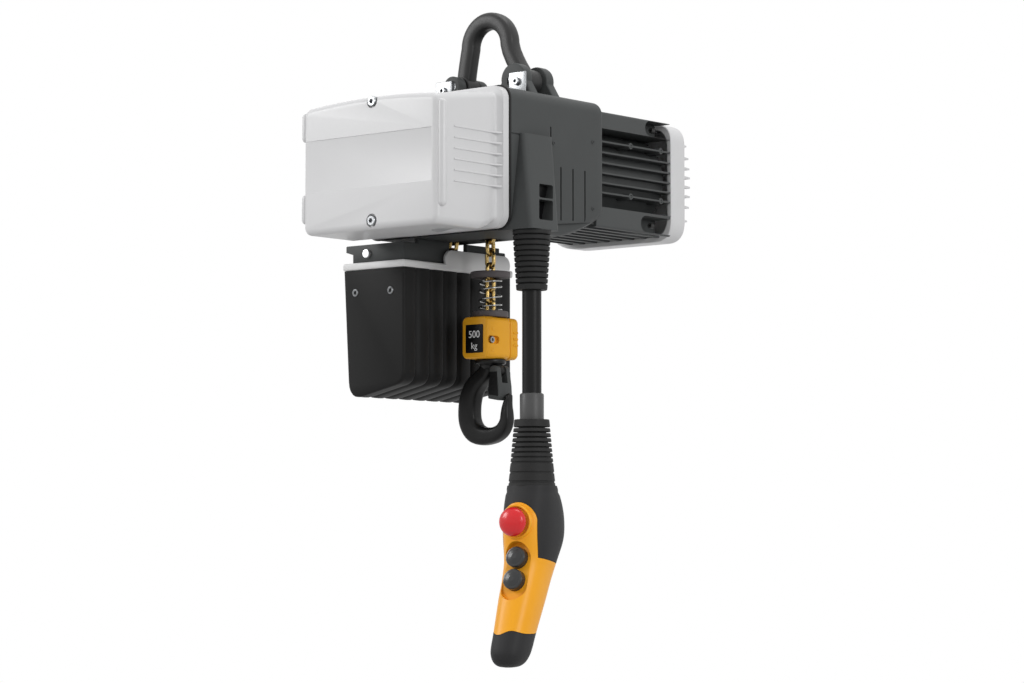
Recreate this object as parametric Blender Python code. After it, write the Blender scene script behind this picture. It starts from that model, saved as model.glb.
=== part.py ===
"""Electric chain hoist with a suspension bail, hook block and hanging control pendant.

Metres. +X runs right across the front cover, the front cover faces -Y, the motor is at +Y,
and +Z is up. The origin is where the bail bears on what carries it, straight above the load
chain.
"""
import math

import bmesh
import bpy
from mathutils import Matrix, Vector

for leftover in list(bpy.data.objects):
    bpy.data.objects.remove(leftover, do_unlink=True)

GAP = 0.0003
OVERCUT = 0.001

# Suspension bail and its clevises
BAIL_BAR = 0.018
BAIL_CROWN = 0.027
BAIL_EYE = 0.0125
BAIL_EYE_PROUD = 0.0008
PIN_LEFT_X = -0.034
PIN_RIGHT_X = 0.051
PIN_Z = -0.060
PIN_RADIUS = 0.006
EAR_TOP_RADIUS = 0.013
EAR_HALF_BASE = 0.021
EAR_THICK = 0.012
EAR_SPACING = 0.023
KEEPER_THICK = 0.003
KEEPER_WIDTH = 0.019
KEEPER_FOOT = 0.011

# Main body
BODY_LEFT = -0.105
BODY_RIGHT = 0.090
BODY_TOP = -0.078
BODY_BOTTOM = -0.222
BODY_FRONT = -0.0725
BODY_BACK = 0.077
BODY_WALL = 0.006
BODY_CORNER = 0.014

# Front cover
COVER_FRONT = -0.178
COVER_NOSE_TOP = -0.092
COVER_NOSE_BOTTOM = -0.224
COVER_DRAFT = 0.004
COVER_EDGE = 0.010
COVER_WALL = 0.0035
COVER_FACE_WALL = 0.006
FLANGE_DEPTH = 0.009
GASKET_THICK = 0.0015
COVER_SCREW_X = -0.0035
COVER_SCREW_INSET = 0.0095
SCREW_HEAD_RADIUS = 0.0055
SCREW_HEAD_HEIGHT = 0.004
SCREW_SHANK_RADIUS = 0.0025
SCREW_SHANK_LENGTH = 0.022
WINDOW_X = 0.050
WINDOW_Y = -0.112
WINDOW_HALF_X = 0.020
WINDOW_HALF_Y = 0.028

# Motor, brake and fan
MOTOR_X = -0.0075
MOTOR_Z = -0.148
MOTOR_LEFT = -0.095
MOTOR_RIGHT = 0.080
MOTOR_TOP = -0.084
MOTOR_BOTTOM = -0.213
MOTOR_BACK = 0.206
MOTOR_CORNER = 0.018
MOTOR_BORE = 0.052
FIN_COUNT = 8
FIN_THICK = 0.0035
FIN_DEPTH = 0.014
FIN_TOP = -0.103
FIN_BOTTOM = -0.186
ROTOR_RADIUS = 0.034
ROTOR_SHAFT = 0.009
STATOR_FRONT = 0.092
STATOR_BACK = 0.160
BRAKE_COIL_LENGTH = 0.014
BRAKE_DISC_RADIUS = 0.046
BRAKE_DISC_THICK = 0.006
SHIELD_THICK = 0.010
FAN_COVER_BACK = 0.233
FAN_COVER_WALL = 0.005
FAN_COVER_GROW = 0.004
COOLING_FIN_LENGTH = 0.013
FAN_RADIUS = 0.040
FAN_LENGTH = 0.012
FAN_BLADES = 6

# Chain and pocket wheel
WIRE = 0.0042
LINK_PITCH = 0.0118
LINK_SEAT = 0.0009
LINK_HALF_WIDTH = 0.0047
POCKETS = 6
WHEEL_Z = -0.150
WHEEL_HALF_WIDTH = 0.0105
WHEEL_FLANGE = 0.027
WHEEL_SHAFT = 0.008
POCKET_HALF_WIDTH = 0.0076
BEARING_OUTER = 0.0155
PLATE_THICK = 0.008
PLATE_OFFSET = 0.018

# Gears
MODULE = 0.0015
PINION_TEETH = 12
GEAR_TEETH = 30
PRESSURE = math.radians(25)
ADDENDUM = 0.8
DEDENDUM = 1.05
BACKLASH = 0.00022
OUTPUT_FRONT = 0.030
OUTPUT_WIDTH = 0.012
CLUSTER_FRONT = 0.046
CLUSTER_WIDTH = 0.010
LAYSHAFT = 0.0045

# Chain guide and slack fall
GUIDE_LEFT = -0.072
GUIDE_RIGHT = 0.016
GUIDE_HALF_Y = 0.013
GUIDE_TOP = -0.186
GUIDE_HOLE = 0.0095
FALL_TOP = -0.188
SLACK_TOP = -0.187
SLACK_BOTTOM = -0.262
SLACK_LEAN = 0.012

# Electrics behind the cover
BOARD_Y = -0.062
BOARD_THICK = 0.0016
BOARD_INSET = 0.022
POST_SIDE = 0.008
CONTACTOR_SIZE = (0.045, 0.040, 0.055)

# Cable socket cover on the right side
SOCKET_FRONT = -0.076
SOCKET_BACK = -0.029
SOCKET_TOP = -0.124
SOCKET_BOTTOM = -0.2235
SOCKET_OUT = 0.119
SOCKET_LIP = 0.006

# Chain container, its rim and its bracket
BIN_LEFT = -0.124
BIN_RIGHT = -0.040
BIN_TAPER = 0.008
BIN_FRONT = -0.090
BIN_BACK = 0.082
BIN_TOP = -0.2538
BIN_LOW = -0.387
BIN_HEEL = -0.370
BIN_WALL = 0.004
BIN_RIDGES = 8
BIN_GROOVE = 0.0025
RIM_HEIGHT = 0.0077
RIM_WALL = 0.006
RIM_PROUD = 0.001
ARCH_FRONT = -0.037
ARCH_BACK = 0.068
ARCH_TOP = -0.231
ARCH_CORNER = 0.010
BRACKET_WALL = 0.005
BRACKET_INSET = 0.005
BRACKET_TOP = -0.2268
CONTAINER_PIN_X = -0.0957
CONTAINER_PIN_Z = -0.2365
CONTAINER_PIN_RADIUS = 0.003

# Buffer above the hook block
DISC_HOLE = 0.0095
UPPER_DISC_TOP = -0.2553
UPPER_DISC_RADIUS = 0.021
DISC_THICK = 0.0066
LOWER_DISC_RADIUS = 0.019
SPRING_WIRE = 0.0016
SPRING_RADIUS = 0.01145
SPRING_TURNS = 4
SPRING_POINTS = 9

# Hook block
BLOCK_TOP = -0.3035
BLOCK_BOTTOM = -0.347
BLOCK_HALF_X = 0.0175
BLOCK_HALF_Y = 0.025
BLOCK_CORNER = 0.006
BLOCK_PARTING = 0.0125
BLOCK_CAVITY = 0.0115
BLOCK_FLOOR = 0.004
BLOCK_ROOF = -0.3125
BLOCK_BOLT_Y = -0.0165
BLOCK_BOLT_Z = -0.325
BLOCK_BOLT_RADIUS = 0.0035
BOLT_SLOT = 0.004
ANCHOR_RADIUS = 0.0020

# Hook and latch
SHANK = 0.007
COLLAR = 0.0165
COLLAR_THICK = 0.0043
HOOK_THICK = 0.018
BEARING_HEIGHT = 0.004
NUT_HEIGHT = 0.006
LATCH_X = 0.0130
LATCH_Z = -0.3595
LATCH_EYE = 0.0055
LATCH_HALF_Y = 0.0075
LATCH_EAR_HALF_Y = 0.0040
LATCH_PIN_RADIUS = 0.002

# Pendant: hangs on its cable and is turned a little about it
CABLE_X = 0.101
CABLE_Y = -0.053
PENDANT_TURN = math.radians(12)
CABLE_RADIUS = 0.00975
BOOT_TOP = -0.2238
BOOT_BOTTOM = -0.284
BOOT_TOP_RADIUS = 0.0194
BOOT_END_RADIUS = 0.0157
BOOT_RIBS = 11
BOOT_RIB_DEPTH = 0.0022
CABLE_END = -0.412
SLEEVE_TOP = -0.388
SLEEVE_RADIUS = 0.0122
LOWER_BOOT_TOP = -0.4145
LOWER_BOOT_END = -0.482
LOWER_BOOT_RIBS = 9
HOUSING_TOP = -0.4823
HANDLE_END = -0.6265
PLATE_ARCH_Z = -0.517
PLATE_HALF = 0.019
JOINT_BACK_Z = -0.564
JOINT_FRONT_Z = -0.553
PLATE_DEPTH = 0.010
ESTOP_Z = -0.5175
ESTOP_RADIUS = 0.0145
ESTOP_HEIGHT = 0.013
ESTOP_STAND = 0.0045
ESTOP_STEM = 0.006
BUTTON_RADIUS = 0.0105
BUTTON_TILT = math.radians(15)
UP_BUTTON_Z = -0.5525
DOWN_BUTTON_Z = -0.5745
BUTTON_PROUD = 0.0035
BUTTON_DEPTH = 0.012
SWITCH_HALF_X = 0.011
SWITCH_HALF_Y = 0.008
SWITCH_TOP = -0.508
SWITCH_BOTTOM = -0.600


def principled(name, colour, roughness, metallic=0.0):
    """One plain surface for a family of pieces."""
    material = bpy.data.materials.new(name)
    material.use_nodes = True
    shader = material.node_tree.nodes["Principled BSDF"]
    shader.inputs["Base Color"].default_value = (*colour, 1.0)
    shader.inputs["Roughness"].default_value = roughness
    shader.inputs["Metallic"].default_value = metallic
    return material


LIGHT_PAINT = principled("light_grey_paint", (0.62, 0.62, 0.63), 0.4)
DARK_PAINT = principled("dark_grey_paint", (0.075, 0.08, 0.08), 0.5)
BLACK_PLASTIC = principled("black_plastic", (0.02, 0.02, 0.02), 0.55)
RUBBER = principled("black_rubber", (0.03, 0.03, 0.03), 0.8)
YELLOW = principled("yellow_plastic", (0.85, 0.37, 0.02), 0.4)
RED = principled("red_plastic", (0.65, 0.02, 0.03), 0.35)
STEEL = principled("bright_steel", (0.6, 0.6, 0.6), 0.3, 1.0)
FORGED = principled("forged_steel", (0.04, 0.04, 0.04), 0.5, 0.6)
GOLD_ZINC = principled("yellow_zinc", (0.75, 0.5, 0.12), 0.3, 1.0)
COPPER = principled("copper_winding", (0.7, 0.3, 0.15), 0.35, 1.0)
BOARD_GREEN = principled("board_laminate", (0.03, 0.16, 0.08), 0.5)


def finish(name, mesh_build, material, smooth_angle=35):
    """Close a bmesh into a named object with its own material."""
    bmesh.ops.remove_doubles(mesh_build, verts=mesh_build.verts, dist=1e-7)
    bmesh.ops.recalc_face_normals(mesh_build, faces=mesh_build.faces)
    mesh = bpy.data.meshes.new(name)
    mesh_build.to_mesh(mesh)
    mesh_build.free()
    mesh.materials.append(material)
    mesh.shade_smooth()
    mesh.set_sharp_from_angle(angle=math.radians(smooth_angle))
    piece = bpy.data.objects.new(name, mesh)
    bpy.context.scene.collection.objects.link(piece)
    return piece


def combine(piece, tool, operation="DIFFERENCE"):
    """Boolean the tool into the piece, then drop the tool."""
    change = piece.modifiers.new("shape", "BOOLEAN")
    change.operation = operation
    change.object = tool
    change.solver = "EXACT"
    bpy.context.view_layer.update()
    evaluated = piece.evaluated_get(bpy.context.evaluated_depsgraph_get())
    shaped = bpy.data.meshes.new_from_object(evaluated)
    piece.modifiers.clear()
    piece.data = shaped
    bpy.data.objects.remove(tool, do_unlink=True)
    return piece


def hang_from(piece, point):
    """Put a piece's origin on a point, such as its joint's axis."""
    piece.data.transform(Matrix.Translation(-Vector(point)))
    piece.location = point
    return piece


def stand_pendant(piece):
    """Carry a piece from the pendant's own frame to where the pendant hangs."""
    piece.location = (CABLE_X, CABLE_Y, 0)
    piece.rotation_euler = (0, 0, PENDANT_TURN)
    return piece


def arc(centre_u, centre_v, radius, start, end, steps):
    """Points on an arc, angles in degrees."""
    points = []
    for step in range(steps + 1):
        angle = math.radians(start + (end - start) * step / steps)
        points.append((centre_u + radius * math.cos(angle), centre_v + radius * math.sin(angle)))
    return points


def rounded(low_u, high_u, low_v, high_v, radius, steps=4):
    """A rectangle's outline with round corners, anticlockwise."""
    return (
        arc(high_u - radius, low_v + radius, radius, -90, 0, steps)
        + arc(high_u - radius, high_v - radius, radius, 0, 90, steps)
        + arc(low_u + radius, high_v - radius, radius, 90, 180, steps)
        + arc(low_u + radius, low_v + radius, radius, 180, 270, steps)
    )


def place(axis, u, v, along):
    """A point from its two outline coordinates and its distance along the axis."""
    if axis == "X":
        return Vector((along, u, v))
    if axis == "Y":
        return Vector((u, along, v))
    return Vector((u, v, along))


def loft(rings):
    """A closed solid through rings of equally many points."""
    build = bmesh.new()
    loops = [[build.verts.new(point) for point in ring] for ring in rings]
    count = len(loops[0])
    for near, far in zip(loops, loops[1:]):
        for index in range(count):
            after = (index + 1) % count
            build.faces.new((near[index], near[after], far[after], far[index]))
    for cap in (loops[0], loops[-1]):
        build.faces.new(cap)
    return build


def prism(axis, outline, low, high):
    """An outline extruded along an axis."""
    return loft([[place(axis, u, v, along) for u, v in outline] for along in (low, high)])


def box(low, high):
    """A plain block between two corners."""
    outline = [(low[0], low[1]), (high[0], low[1]), (high[0], high[1]), (low[0], high[1])]
    return prism("Z", outline, low[2], high[2])


def turned(axis, centre, profile, sides=24, bored=False):
    """A profile of (radius, distance) points spun about an axis; bored joins its two ends."""
    build = bmesh.new()
    rings = []
    for radius, along in profile:
        if radius == 0:
            rings.append([build.verts.new(place(axis, *centre, along))])
            continue
        circle = arc(*centre, radius, 0, 360 * (1 - 1 / sides), sides - 1)
        rings.append([build.verts.new(place(axis, u, v, along)) for u, v in circle])
    pairs = list(zip(rings, rings[1:]))
    if bored:
        pairs.append((rings[-1], rings[0]))
    for near, far in pairs:
        if len(near) == len(far) == 1:
            continue
        for index in range(sides):
            after = (index + 1) % sides
            corners = [near[index % len(near)], near[after % len(near)]]
            corners += [far[after % len(far)], far[index % len(far)]]
            build.faces.new(list(dict.fromkeys(corners)))
    return build


def rod(axis, centre, radius, low, high, sides=24):
    """A plain round bar."""
    return turned(axis, centre, [(0, low), (radius, low), (radius, high), (0, high)], sides)


def ring(axis, centre, inner, outer, low, high, sides=24):
    """A plain round sleeve."""
    profile = [(inner, low), (outer, low), (outer, high), (inner, high)]
    return turned(axis, centre, profile, sides, bored=True)


def cutter(build):
    """A shape that only cuts another."""
    tool = finish("cutter", build, STEEL)
    tool.hide_render = True
    tool.display_type = "WIRE"
    return tool


def sweep(path, widths, depths, sides, closed=False, corner=2.0):
    """A bar along a path in the XZ plane, with its own width and depth at each point."""
    rings = []
    for index, (x, z) in enumerate(path):
        before = path[index - 1] if closed or index else path[0]
        after = path[(index + 1) % len(path)] if closed or index + 1 < len(path) else path[-1]
        run = Vector((after[0] - before[0], 0, after[1] - before[1])).normalized()
        across = Vector((-run.z, 0, run.x))
        points = []
        for side in range(sides):
            angle = 2 * math.pi * (side + 0.5) / sides
            u = math.copysign(abs(math.cos(angle)) ** (2 / corner), math.cos(angle))
            v = math.copysign(abs(math.sin(angle)) ** (2 / corner), math.sin(angle))
            offset = across * (u * widths[index] / 2) + Vector((0, v * depths[index] / 2, 0))
            points.append(Vector((x, 0, z)) + offset)
        rings.append(points)
    if not closed:
        return loft(rings)
    build = bmesh.new()
    loops = [[build.verts.new(point) for point in points] for points in rings]
    for near, far in zip(loops, loops[1:] + loops[:1]):
        for side in range(sides):
            after = (side + 1) % sides
            build.faces.new((near[side], near[after], far[after], far[side]))
    return build


def ear_outline(pin_x):
    """A clevis ear: wide foot inside the body's wall and a round head about the pin."""
    foot = BODY_TOP - BODY_WALL / 2
    head = arc(pin_x, PIN_Z, EAR_TOP_RADIUS, -10, 190, 8)
    return [(pin_x - EAR_HALF_BASE, foot), (pin_x + EAR_HALF_BASE, foot)] + head


def inner_outline(clearance=0.0):
    """The body's hollow seen along the motor axis, less a clearance."""
    inset = BODY_WALL + clearance
    corner = BODY_CORNER - BODY_WALL
    return rounded(
        BODY_LEFT + inset, BODY_RIGHT - inset, BODY_BOTTOM + inset, BODY_TOP - inset, corner)


WHEEL_RADIUS = 0.5 * math.hypot(
    LINK_PITCH / math.sin(math.pi / (2 * POCKETS)), WIRE / math.cos(math.pi / (2 * POCKETS)))
WHEEL_X = -WHEEL_RADIUS
WHEEL_AXIS = (WHEEL_X, WHEEL_Z)
MOTOR_AXIS = (MOTOR_X, MOTOR_Z)
CENTRE_DISTANCE = MODULE * (PINION_TEETH + GEAR_TEETH) / 2
EAR_OUT = EAR_SPACING / 2 + EAR_THICK
COVER_BACK = BODY_FRONT - GASKET_THICK - 2 * GAP


def layshaft_axis():
    """The point above the wheel and the motor that is one centre distance from both."""
    wheel = Vector(WHEEL_AXIS)
    motor = Vector(MOTOR_AXIS)
    middle = (wheel + motor) / 2
    half = (motor - wheel).length / 2
    along = (motor - wheel).normalized()
    rise = math.sqrt(CENTRE_DISTANCE ** 2 - half ** 2)
    return tuple(middle + Vector((-along.y, along.x)) * rise)


LAY_AXIS = layshaft_axis()


def suspension():
    """Bail, its pins and the keepers that stop them."""
    crown_z = BAIL_BAR / 2 - BAIL_CROWN
    left = [(PIN_LEFT_X, PIN_Z), (PIN_LEFT_X * 0.92, (PIN_Z + crown_z) / 2)]
    flare = PIN_RIGHT_X - BAIL_CROWN
    drop = PIN_Z - crown_z
    right = [(BAIL_CROWN + flare * share ** 1.4, crown_z + drop * share) for share in (0.3, 0.55, 0.8, 1)]
    path = left + arc(0, crown_z, BAIL_CROWN, 180, 0, 10) + right
    sizes = [BAIL_BAR] * len(path)
    bail = finish("suspension_bail", sweep(path, sizes, sizes, 10, corner=3.2), FORGED)
    for pin_x in (PIN_LEFT_X, PIN_RIGHT_X):
        half_eye = BAIL_BAR / 2 + BAIL_EYE_PROUD
        eye = cutter(rod("Y", (pin_x, PIN_Z), BAIL_EYE, -half_eye, half_eye))
        combine(bail, eye, "UNION")
    for pin_x in (PIN_LEFT_X, PIN_RIGHT_X):
        bore = rod("Y", (pin_x, PIN_Z), PIN_RADIUS + GAP, -BAIL_BAR, BAIL_BAR)
        combine(bail, cutter(bore))
    for side, pin_x, shift in (("left", PIN_LEFT_X, -1), ("right", PIN_RIGHT_X, 1)):
        pin = rod("Y", (pin_x, PIN_Z), PIN_RADIUS, -EAR_OUT, EAR_OUT)
        finish("suspension_pin_" + side, pin, STEEL)
        face = -EAR_OUT - GAP
        foot = BODY_TOP + GAP
        angle = [
            (face, foot), (face, PIN_Z + PIN_RADIUS), (face - KEEPER_THICK, PIN_Z + PIN_RADIUS),
            (face - KEEPER_THICK, foot + KEEPER_THICK), (face - KEEPER_FOOT, foot + KEEPER_THICK),
            (face - KEEPER_FOOT, foot)]
        ends = sorted((pin_x - shift * 0.003, pin_x + shift * KEEPER_WIDTH))
        finish("pin_keeper_" + side, prism("X", angle, *ends), STEEL)


def main_body():
    """Middle casting: open to the front, with the clevis ears on top."""
    outer = rounded(BODY_LEFT, BODY_RIGHT, BODY_BOTTOM, BODY_TOP, BODY_CORNER)
    body = finish("main_body", prism("Y", outer, BODY_FRONT, BODY_BACK), DARK_PAINT)
    for pin_x in (PIN_LEFT_X, PIN_RIGHT_X):
        for near in (-EAR_OUT, EAR_SPACING / 2):
            ear = prism("Y", ear_outline(pin_x), near, near + EAR_THICK)
            combine(body, cutter(ear), "UNION")
        bore = rod("Y", (pin_x, PIN_Z), PIN_RADIUS + GAP, -EAR_OUT - OVERCUT, EAR_OUT + OVERCUT)
        combine(body, cutter(bore))
    hollow = prism("Y", inner_outline(), BODY_FRONT - OVERCUT, BODY_BACK - BODY_WALL)
    combine(body, cutter(hollow))
    guide_hole = box(
        (GUIDE_LEFT - GAP, -GUIDE_HALF_Y - GAP, BODY_BOTTOM - OVERCUT),
        (GUIDE_RIGHT + GAP, GUIDE_HALF_Y + GAP, BODY_BOTTOM + BODY_WALL + OVERCUT))
    combine(body, cutter(guide_hole))
    bearing_seat = rod(
        "Y", MOTOR_AXIS, BEARING_OUTER + GAP, BODY_BACK - BODY_WALL - OVERCUT, BODY_BACK + OVERCUT, 16)
    combine(body, cutter(bearing_seat))
    lay_seat = rod(
        "Y", LAY_AXIS, LAYSHAFT + GAP, BODY_BACK - BODY_WALL - OVERCUT, BODY_BACK + OVERCUT, 16)
    combine(body, cutter(lay_seat))


def cover_ring(along, inset, share):
    """One section of the cover: share runs from 0 at the flange to 1 at the nose."""
    top = BODY_TOP + (COVER_NOSE_TOP - BODY_TOP) * share - inset
    bottom = BODY_BOTTOM + (COVER_NOSE_BOTTOM - BODY_BOTTOM) * share + inset
    side = COVER_DRAFT * share + inset
    corner = max(BODY_CORNER - inset, 0.003)
    outline = rounded(BODY_LEFT + side, BODY_RIGHT - side, bottom, top, corner)
    return [place("Y", u, v, along) for u, v in outline]


def cover_share(along):
    """How far along its draft the cover is at a distance."""
    start = COVER_BACK - FLANGE_DEPTH
    return (start - along) / (start - COVER_FRONT)


def front_cover():
    """Light shell over the electrics, with its gasket and screws."""
    start = COVER_BACK - FLANGE_DEPTH
    shoulder = COVER_FRONT + COVER_EDGE
    rings = [
        cover_ring(COVER_BACK, 0, 0), cover_ring(start, 0, 0),
        cover_ring(start - 0.003, 0.003, cover_share(start - 0.003)),
        cover_ring(shoulder, 0.003, cover_share(shoulder)),
        cover_ring(COVER_FRONT + COVER_EDGE * 0.3, 0.003 + COVER_EDGE * 0.3, 1),
        cover_ring(COVER_FRONT, 0.003 + COVER_EDGE, 1)]
    cover = finish("front_cover", loft(rings), LIGHT_PAINT, 50)
    wall = COVER_WALL + 0.003
    deep = COVER_FRONT + COVER_FACE_WALL
    hollow = [
        cover_ring(COVER_BACK + OVERCUT, BODY_WALL, 0), cover_ring(start, BODY_WALL, 0),
        cover_ring(start - 0.003, wall, cover_share(start - 0.003)),
        cover_ring(shoulder, wall, cover_share(shoulder)),
        cover_ring(deep, wall + COVER_EDGE * 0.6, 1)]
    combine(cover, cutter(loft(hollow)))
    window = []
    for share in range(16):
        angle = 2 * math.pi * share / 16
        window.append((
            WINDOW_X + WINDOW_HALF_X * math.cos(angle), WINDOW_Y + WINDOW_HALF_Y * math.sin(angle)))
    floor = BODY_BOTTOM + BODY_WALL + 0.006
    combine(cover, cutter(prism("Z", window, COVER_NOSE_BOTTOM - OVERCUT, floor)))
    top_z = COVER_NOSE_TOP - COVER_SCREW_INSET
    bottom_z = COVER_NOSE_BOTTOM + COVER_SCREW_INSET
    for side, screw_z in (("top", top_z), ("bottom", bottom_z)):
        axis = (COVER_SCREW_X, screw_z)
        seat = COVER_FRONT + SCREW_HEAD_HEIGHT * 0.6
        hole = [
            (0, COVER_FRONT - 0.02), (SCREW_HEAD_RADIUS + GAP, COVER_FRONT - 0.02),
            (SCREW_HEAD_RADIUS + GAP, seat), (SCREW_SHANK_RADIUS + GAP, seat),
            (SCREW_SHANK_RADIUS + GAP, COVER_FRONT + 0.05), (0, COVER_FRONT + 0.05)]
        combine(cover, cutter(turned("Y", axis, hole, 16)))
        under = seat - GAP
        screw = [
            (0, under - SCREW_HEAD_HEIGHT), (SCREW_HEAD_RADIUS, under - SCREW_HEAD_HEIGHT),
            (SCREW_HEAD_RADIUS, under), (SCREW_SHANK_RADIUS, under),
            (SCREW_SHANK_RADIUS, under + SCREW_SHANK_LENGTH), (0, under + SCREW_SHANK_LENGTH)]
        finish("cover_screw_" + side, turned("Y", axis, screw, 16), STEEL)
    outer = rounded(BODY_LEFT, BODY_RIGHT, BODY_BOTTOM, BODY_TOP, BODY_CORNER)
    near = BODY_FRONT - GAP - GASKET_THICK
    gasket = finish("cover_gasket", prism("Y", outer, near, near + GASKET_THICK), RUBBER)
    opening = prism("Y", inner_outline(), near - OVERCUT, BODY_FRONT + OVERCUT)
    combine(gasket, cutter(opening))


def fin_side(side_x, inward, ordered):
    """The zigzag of cooling fins down one side of the motor."""
    pitch = (FIN_TOP - FIN_BOTTOM) / (FIN_COUNT - 1)
    points = []
    for index in range(FIN_COUNT - 1):
        top = FIN_TOP - index * pitch - FIN_THICK / 2
        low = FIN_TOP - (index + 1) * pitch + FIN_THICK / 2
        floor = side_x + inward * FIN_DEPTH
        points += [(side_x, top), (floor, top), (floor, low), (side_x, low)]
    return points if ordered else points[::-1]


def motor():
    """Finned motor housing with stator, brake coil and end shield."""
    corners = rounded(MOTOR_LEFT, MOTOR_RIGHT, MOTOR_BOTTOM, MOTOR_TOP, MOTOR_CORNER)
    quarter = len(corners) // 4
    outline = (
        corners[:quarter] + fin_side(MOTOR_RIGHT, -1, False) + corners[quarter:3 * quarter]
        + fin_side(MOTOR_LEFT, 1, True) + corners[3 * quarter:])
    front = BODY_BACK + GAP
    housing = finish("motor_housing", prism("Y", outline, front, MOTOR_BACK), DARK_PAINT)
    bore = rod("Y", MOTOR_AXIS, MOTOR_BORE, front - OVERCUT, MOTOR_BACK + OVERCUT)
    combine(housing, cutter(bore))
    snug = MOTOR_BORE - GAP
    core = ROTOR_RADIUS + 0.001
    finish("stator", ring("Y", MOTOR_AXIS, core, snug, STATOR_FRONT, STATOR_BACK), COPPER)
    coil_front = STATOR_BACK + 0.004
    coil = ring("Y", MOTOR_AXIS, ROTOR_SHAFT + 0.006, snug, coil_front, coil_front + BRAKE_COIL_LENGTH)
    finish("brake_coil", coil, COPPER)
    shield_front = MOTOR_BACK - SHIELD_THICK
    shield = ring("Y", MOTOR_AXIS, BEARING_OUTER + GAP, snug, shield_front, MOTOR_BACK - GAP)
    finish("motor_end_shield", shield, DARK_PAINT)
    seats = (("front", BODY_BACK - BODY_WALL, BODY_BACK), ("rear", shield_front, MOTOR_BACK - GAP))
    for side, near, far in seats:
        bearing = ring("Y", MOTOR_AXIS, ROTOR_SHAFT + GAP, BEARING_OUTER, near, far, 16)
        finish("rotor_bearing_" + side, bearing, STEEL)


def fan_cover():
    """Light end cap over the fan, with cooling fins standing out of its back."""
    front = MOTOR_BACK + GAP
    grow = FAN_COVER_GROW

    def outline(inset):
        return rounded(
            MOTOR_LEFT + inset, MOTOR_RIGHT - inset, MOTOR_BOTTOM - grow + inset,
            MOTOR_TOP + grow - inset, MOTOR_CORNER)

    def section(along, inset):
        return [place("Y", u, v, along) for u, v in outline(inset)]

    edge = 0.005
    shell = loft([
        section(front, 0), section(FAN_COVER_BACK - edge, 0),
        section(FAN_COVER_BACK - edge * 0.3, edge * 0.3), section(FAN_COVER_BACK, edge)])
    cap = finish("fan_cover", shell, LIGHT_PAINT, 50)
    pitch = (FIN_TOP - FIN_BOTTOM) / (FIN_COUNT - 1)
    for index in range(FIN_COUNT):
        height = FIN_TOP - index * pitch
        left = MOTOR_LEFT + MOTOR_CORNER
        right = MOTOR_RIGHT - MOTOR_CORNER / 2
        tip = FAN_COVER_BACK + COOLING_FIN_LENGTH
        root = FAN_COVER_BACK - FAN_COVER_WALL / 2
        plan = [(left, root), (right, root), (right - 0.004, tip), (left + 0.02, tip)]
        fin = prism("Z", plan, height - FIN_THICK / 2, height + FIN_THICK / 2)
        combine(cap, cutter(fin), "UNION")
    hollow = prism("Y", outline(FAN_COVER_WALL), front - OVERCUT, FAN_COVER_BACK - FAN_COVER_WALL)
    combine(cap, cutter(hollow))


def involute_gear(centre, teeth, near, far, towards, tooth_there, bore):
    """A spur gear along Y whose tooth, or gap, lies on the line towards its mate."""
    pitch_radius = MODULE * teeth / 2
    base = pitch_radius * math.cos(PRESSURE)
    tip = pitch_radius + ADDENDUM * MODULE
    root = pitch_radius - DEDENDUM * MODULE

    def roll(radius):
        swing = math.acos(min(1, base / radius))
        return math.tan(swing) - swing

    half_tooth = (math.pi * MODULE / 2 - BACKLASH) / (2 * pitch_radius)
    low = max(base, root + 0.1 * MODULE)
    flank = [low, pitch_radius, tip]
    heading = math.atan2(towards[1] - centre[1], towards[0] - centre[0])
    if not tooth_there:
        heading += math.pi / teeth
    outline = []
    for tooth in range(teeth):
        middle = heading + 2 * math.pi * tooth / teeth
        rising = []
        for radius in flank:
            half = half_tooth + roll(pitch_radius) - roll(radius)
            rising.append((radius, half))
        polar = [(root, rising[0][1] * 1.12)] + rising
        profile = [(radius, middle - half) for radius, half in polar]
        profile += [(radius, middle + half) for radius, half in reversed(polar)]
        for radius, angle in profile:
            outline.append((
                centre[0] + radius * math.cos(angle), centre[1] + radius * math.sin(angle)))
    gear = finish("gear", prism("Y", outline, near, far), STEEL)
    if bore:
        combine(gear, cutter(rod("Y", centre, bore, near - OVERCUT, far + OVERCUT)))
    return gear


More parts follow.
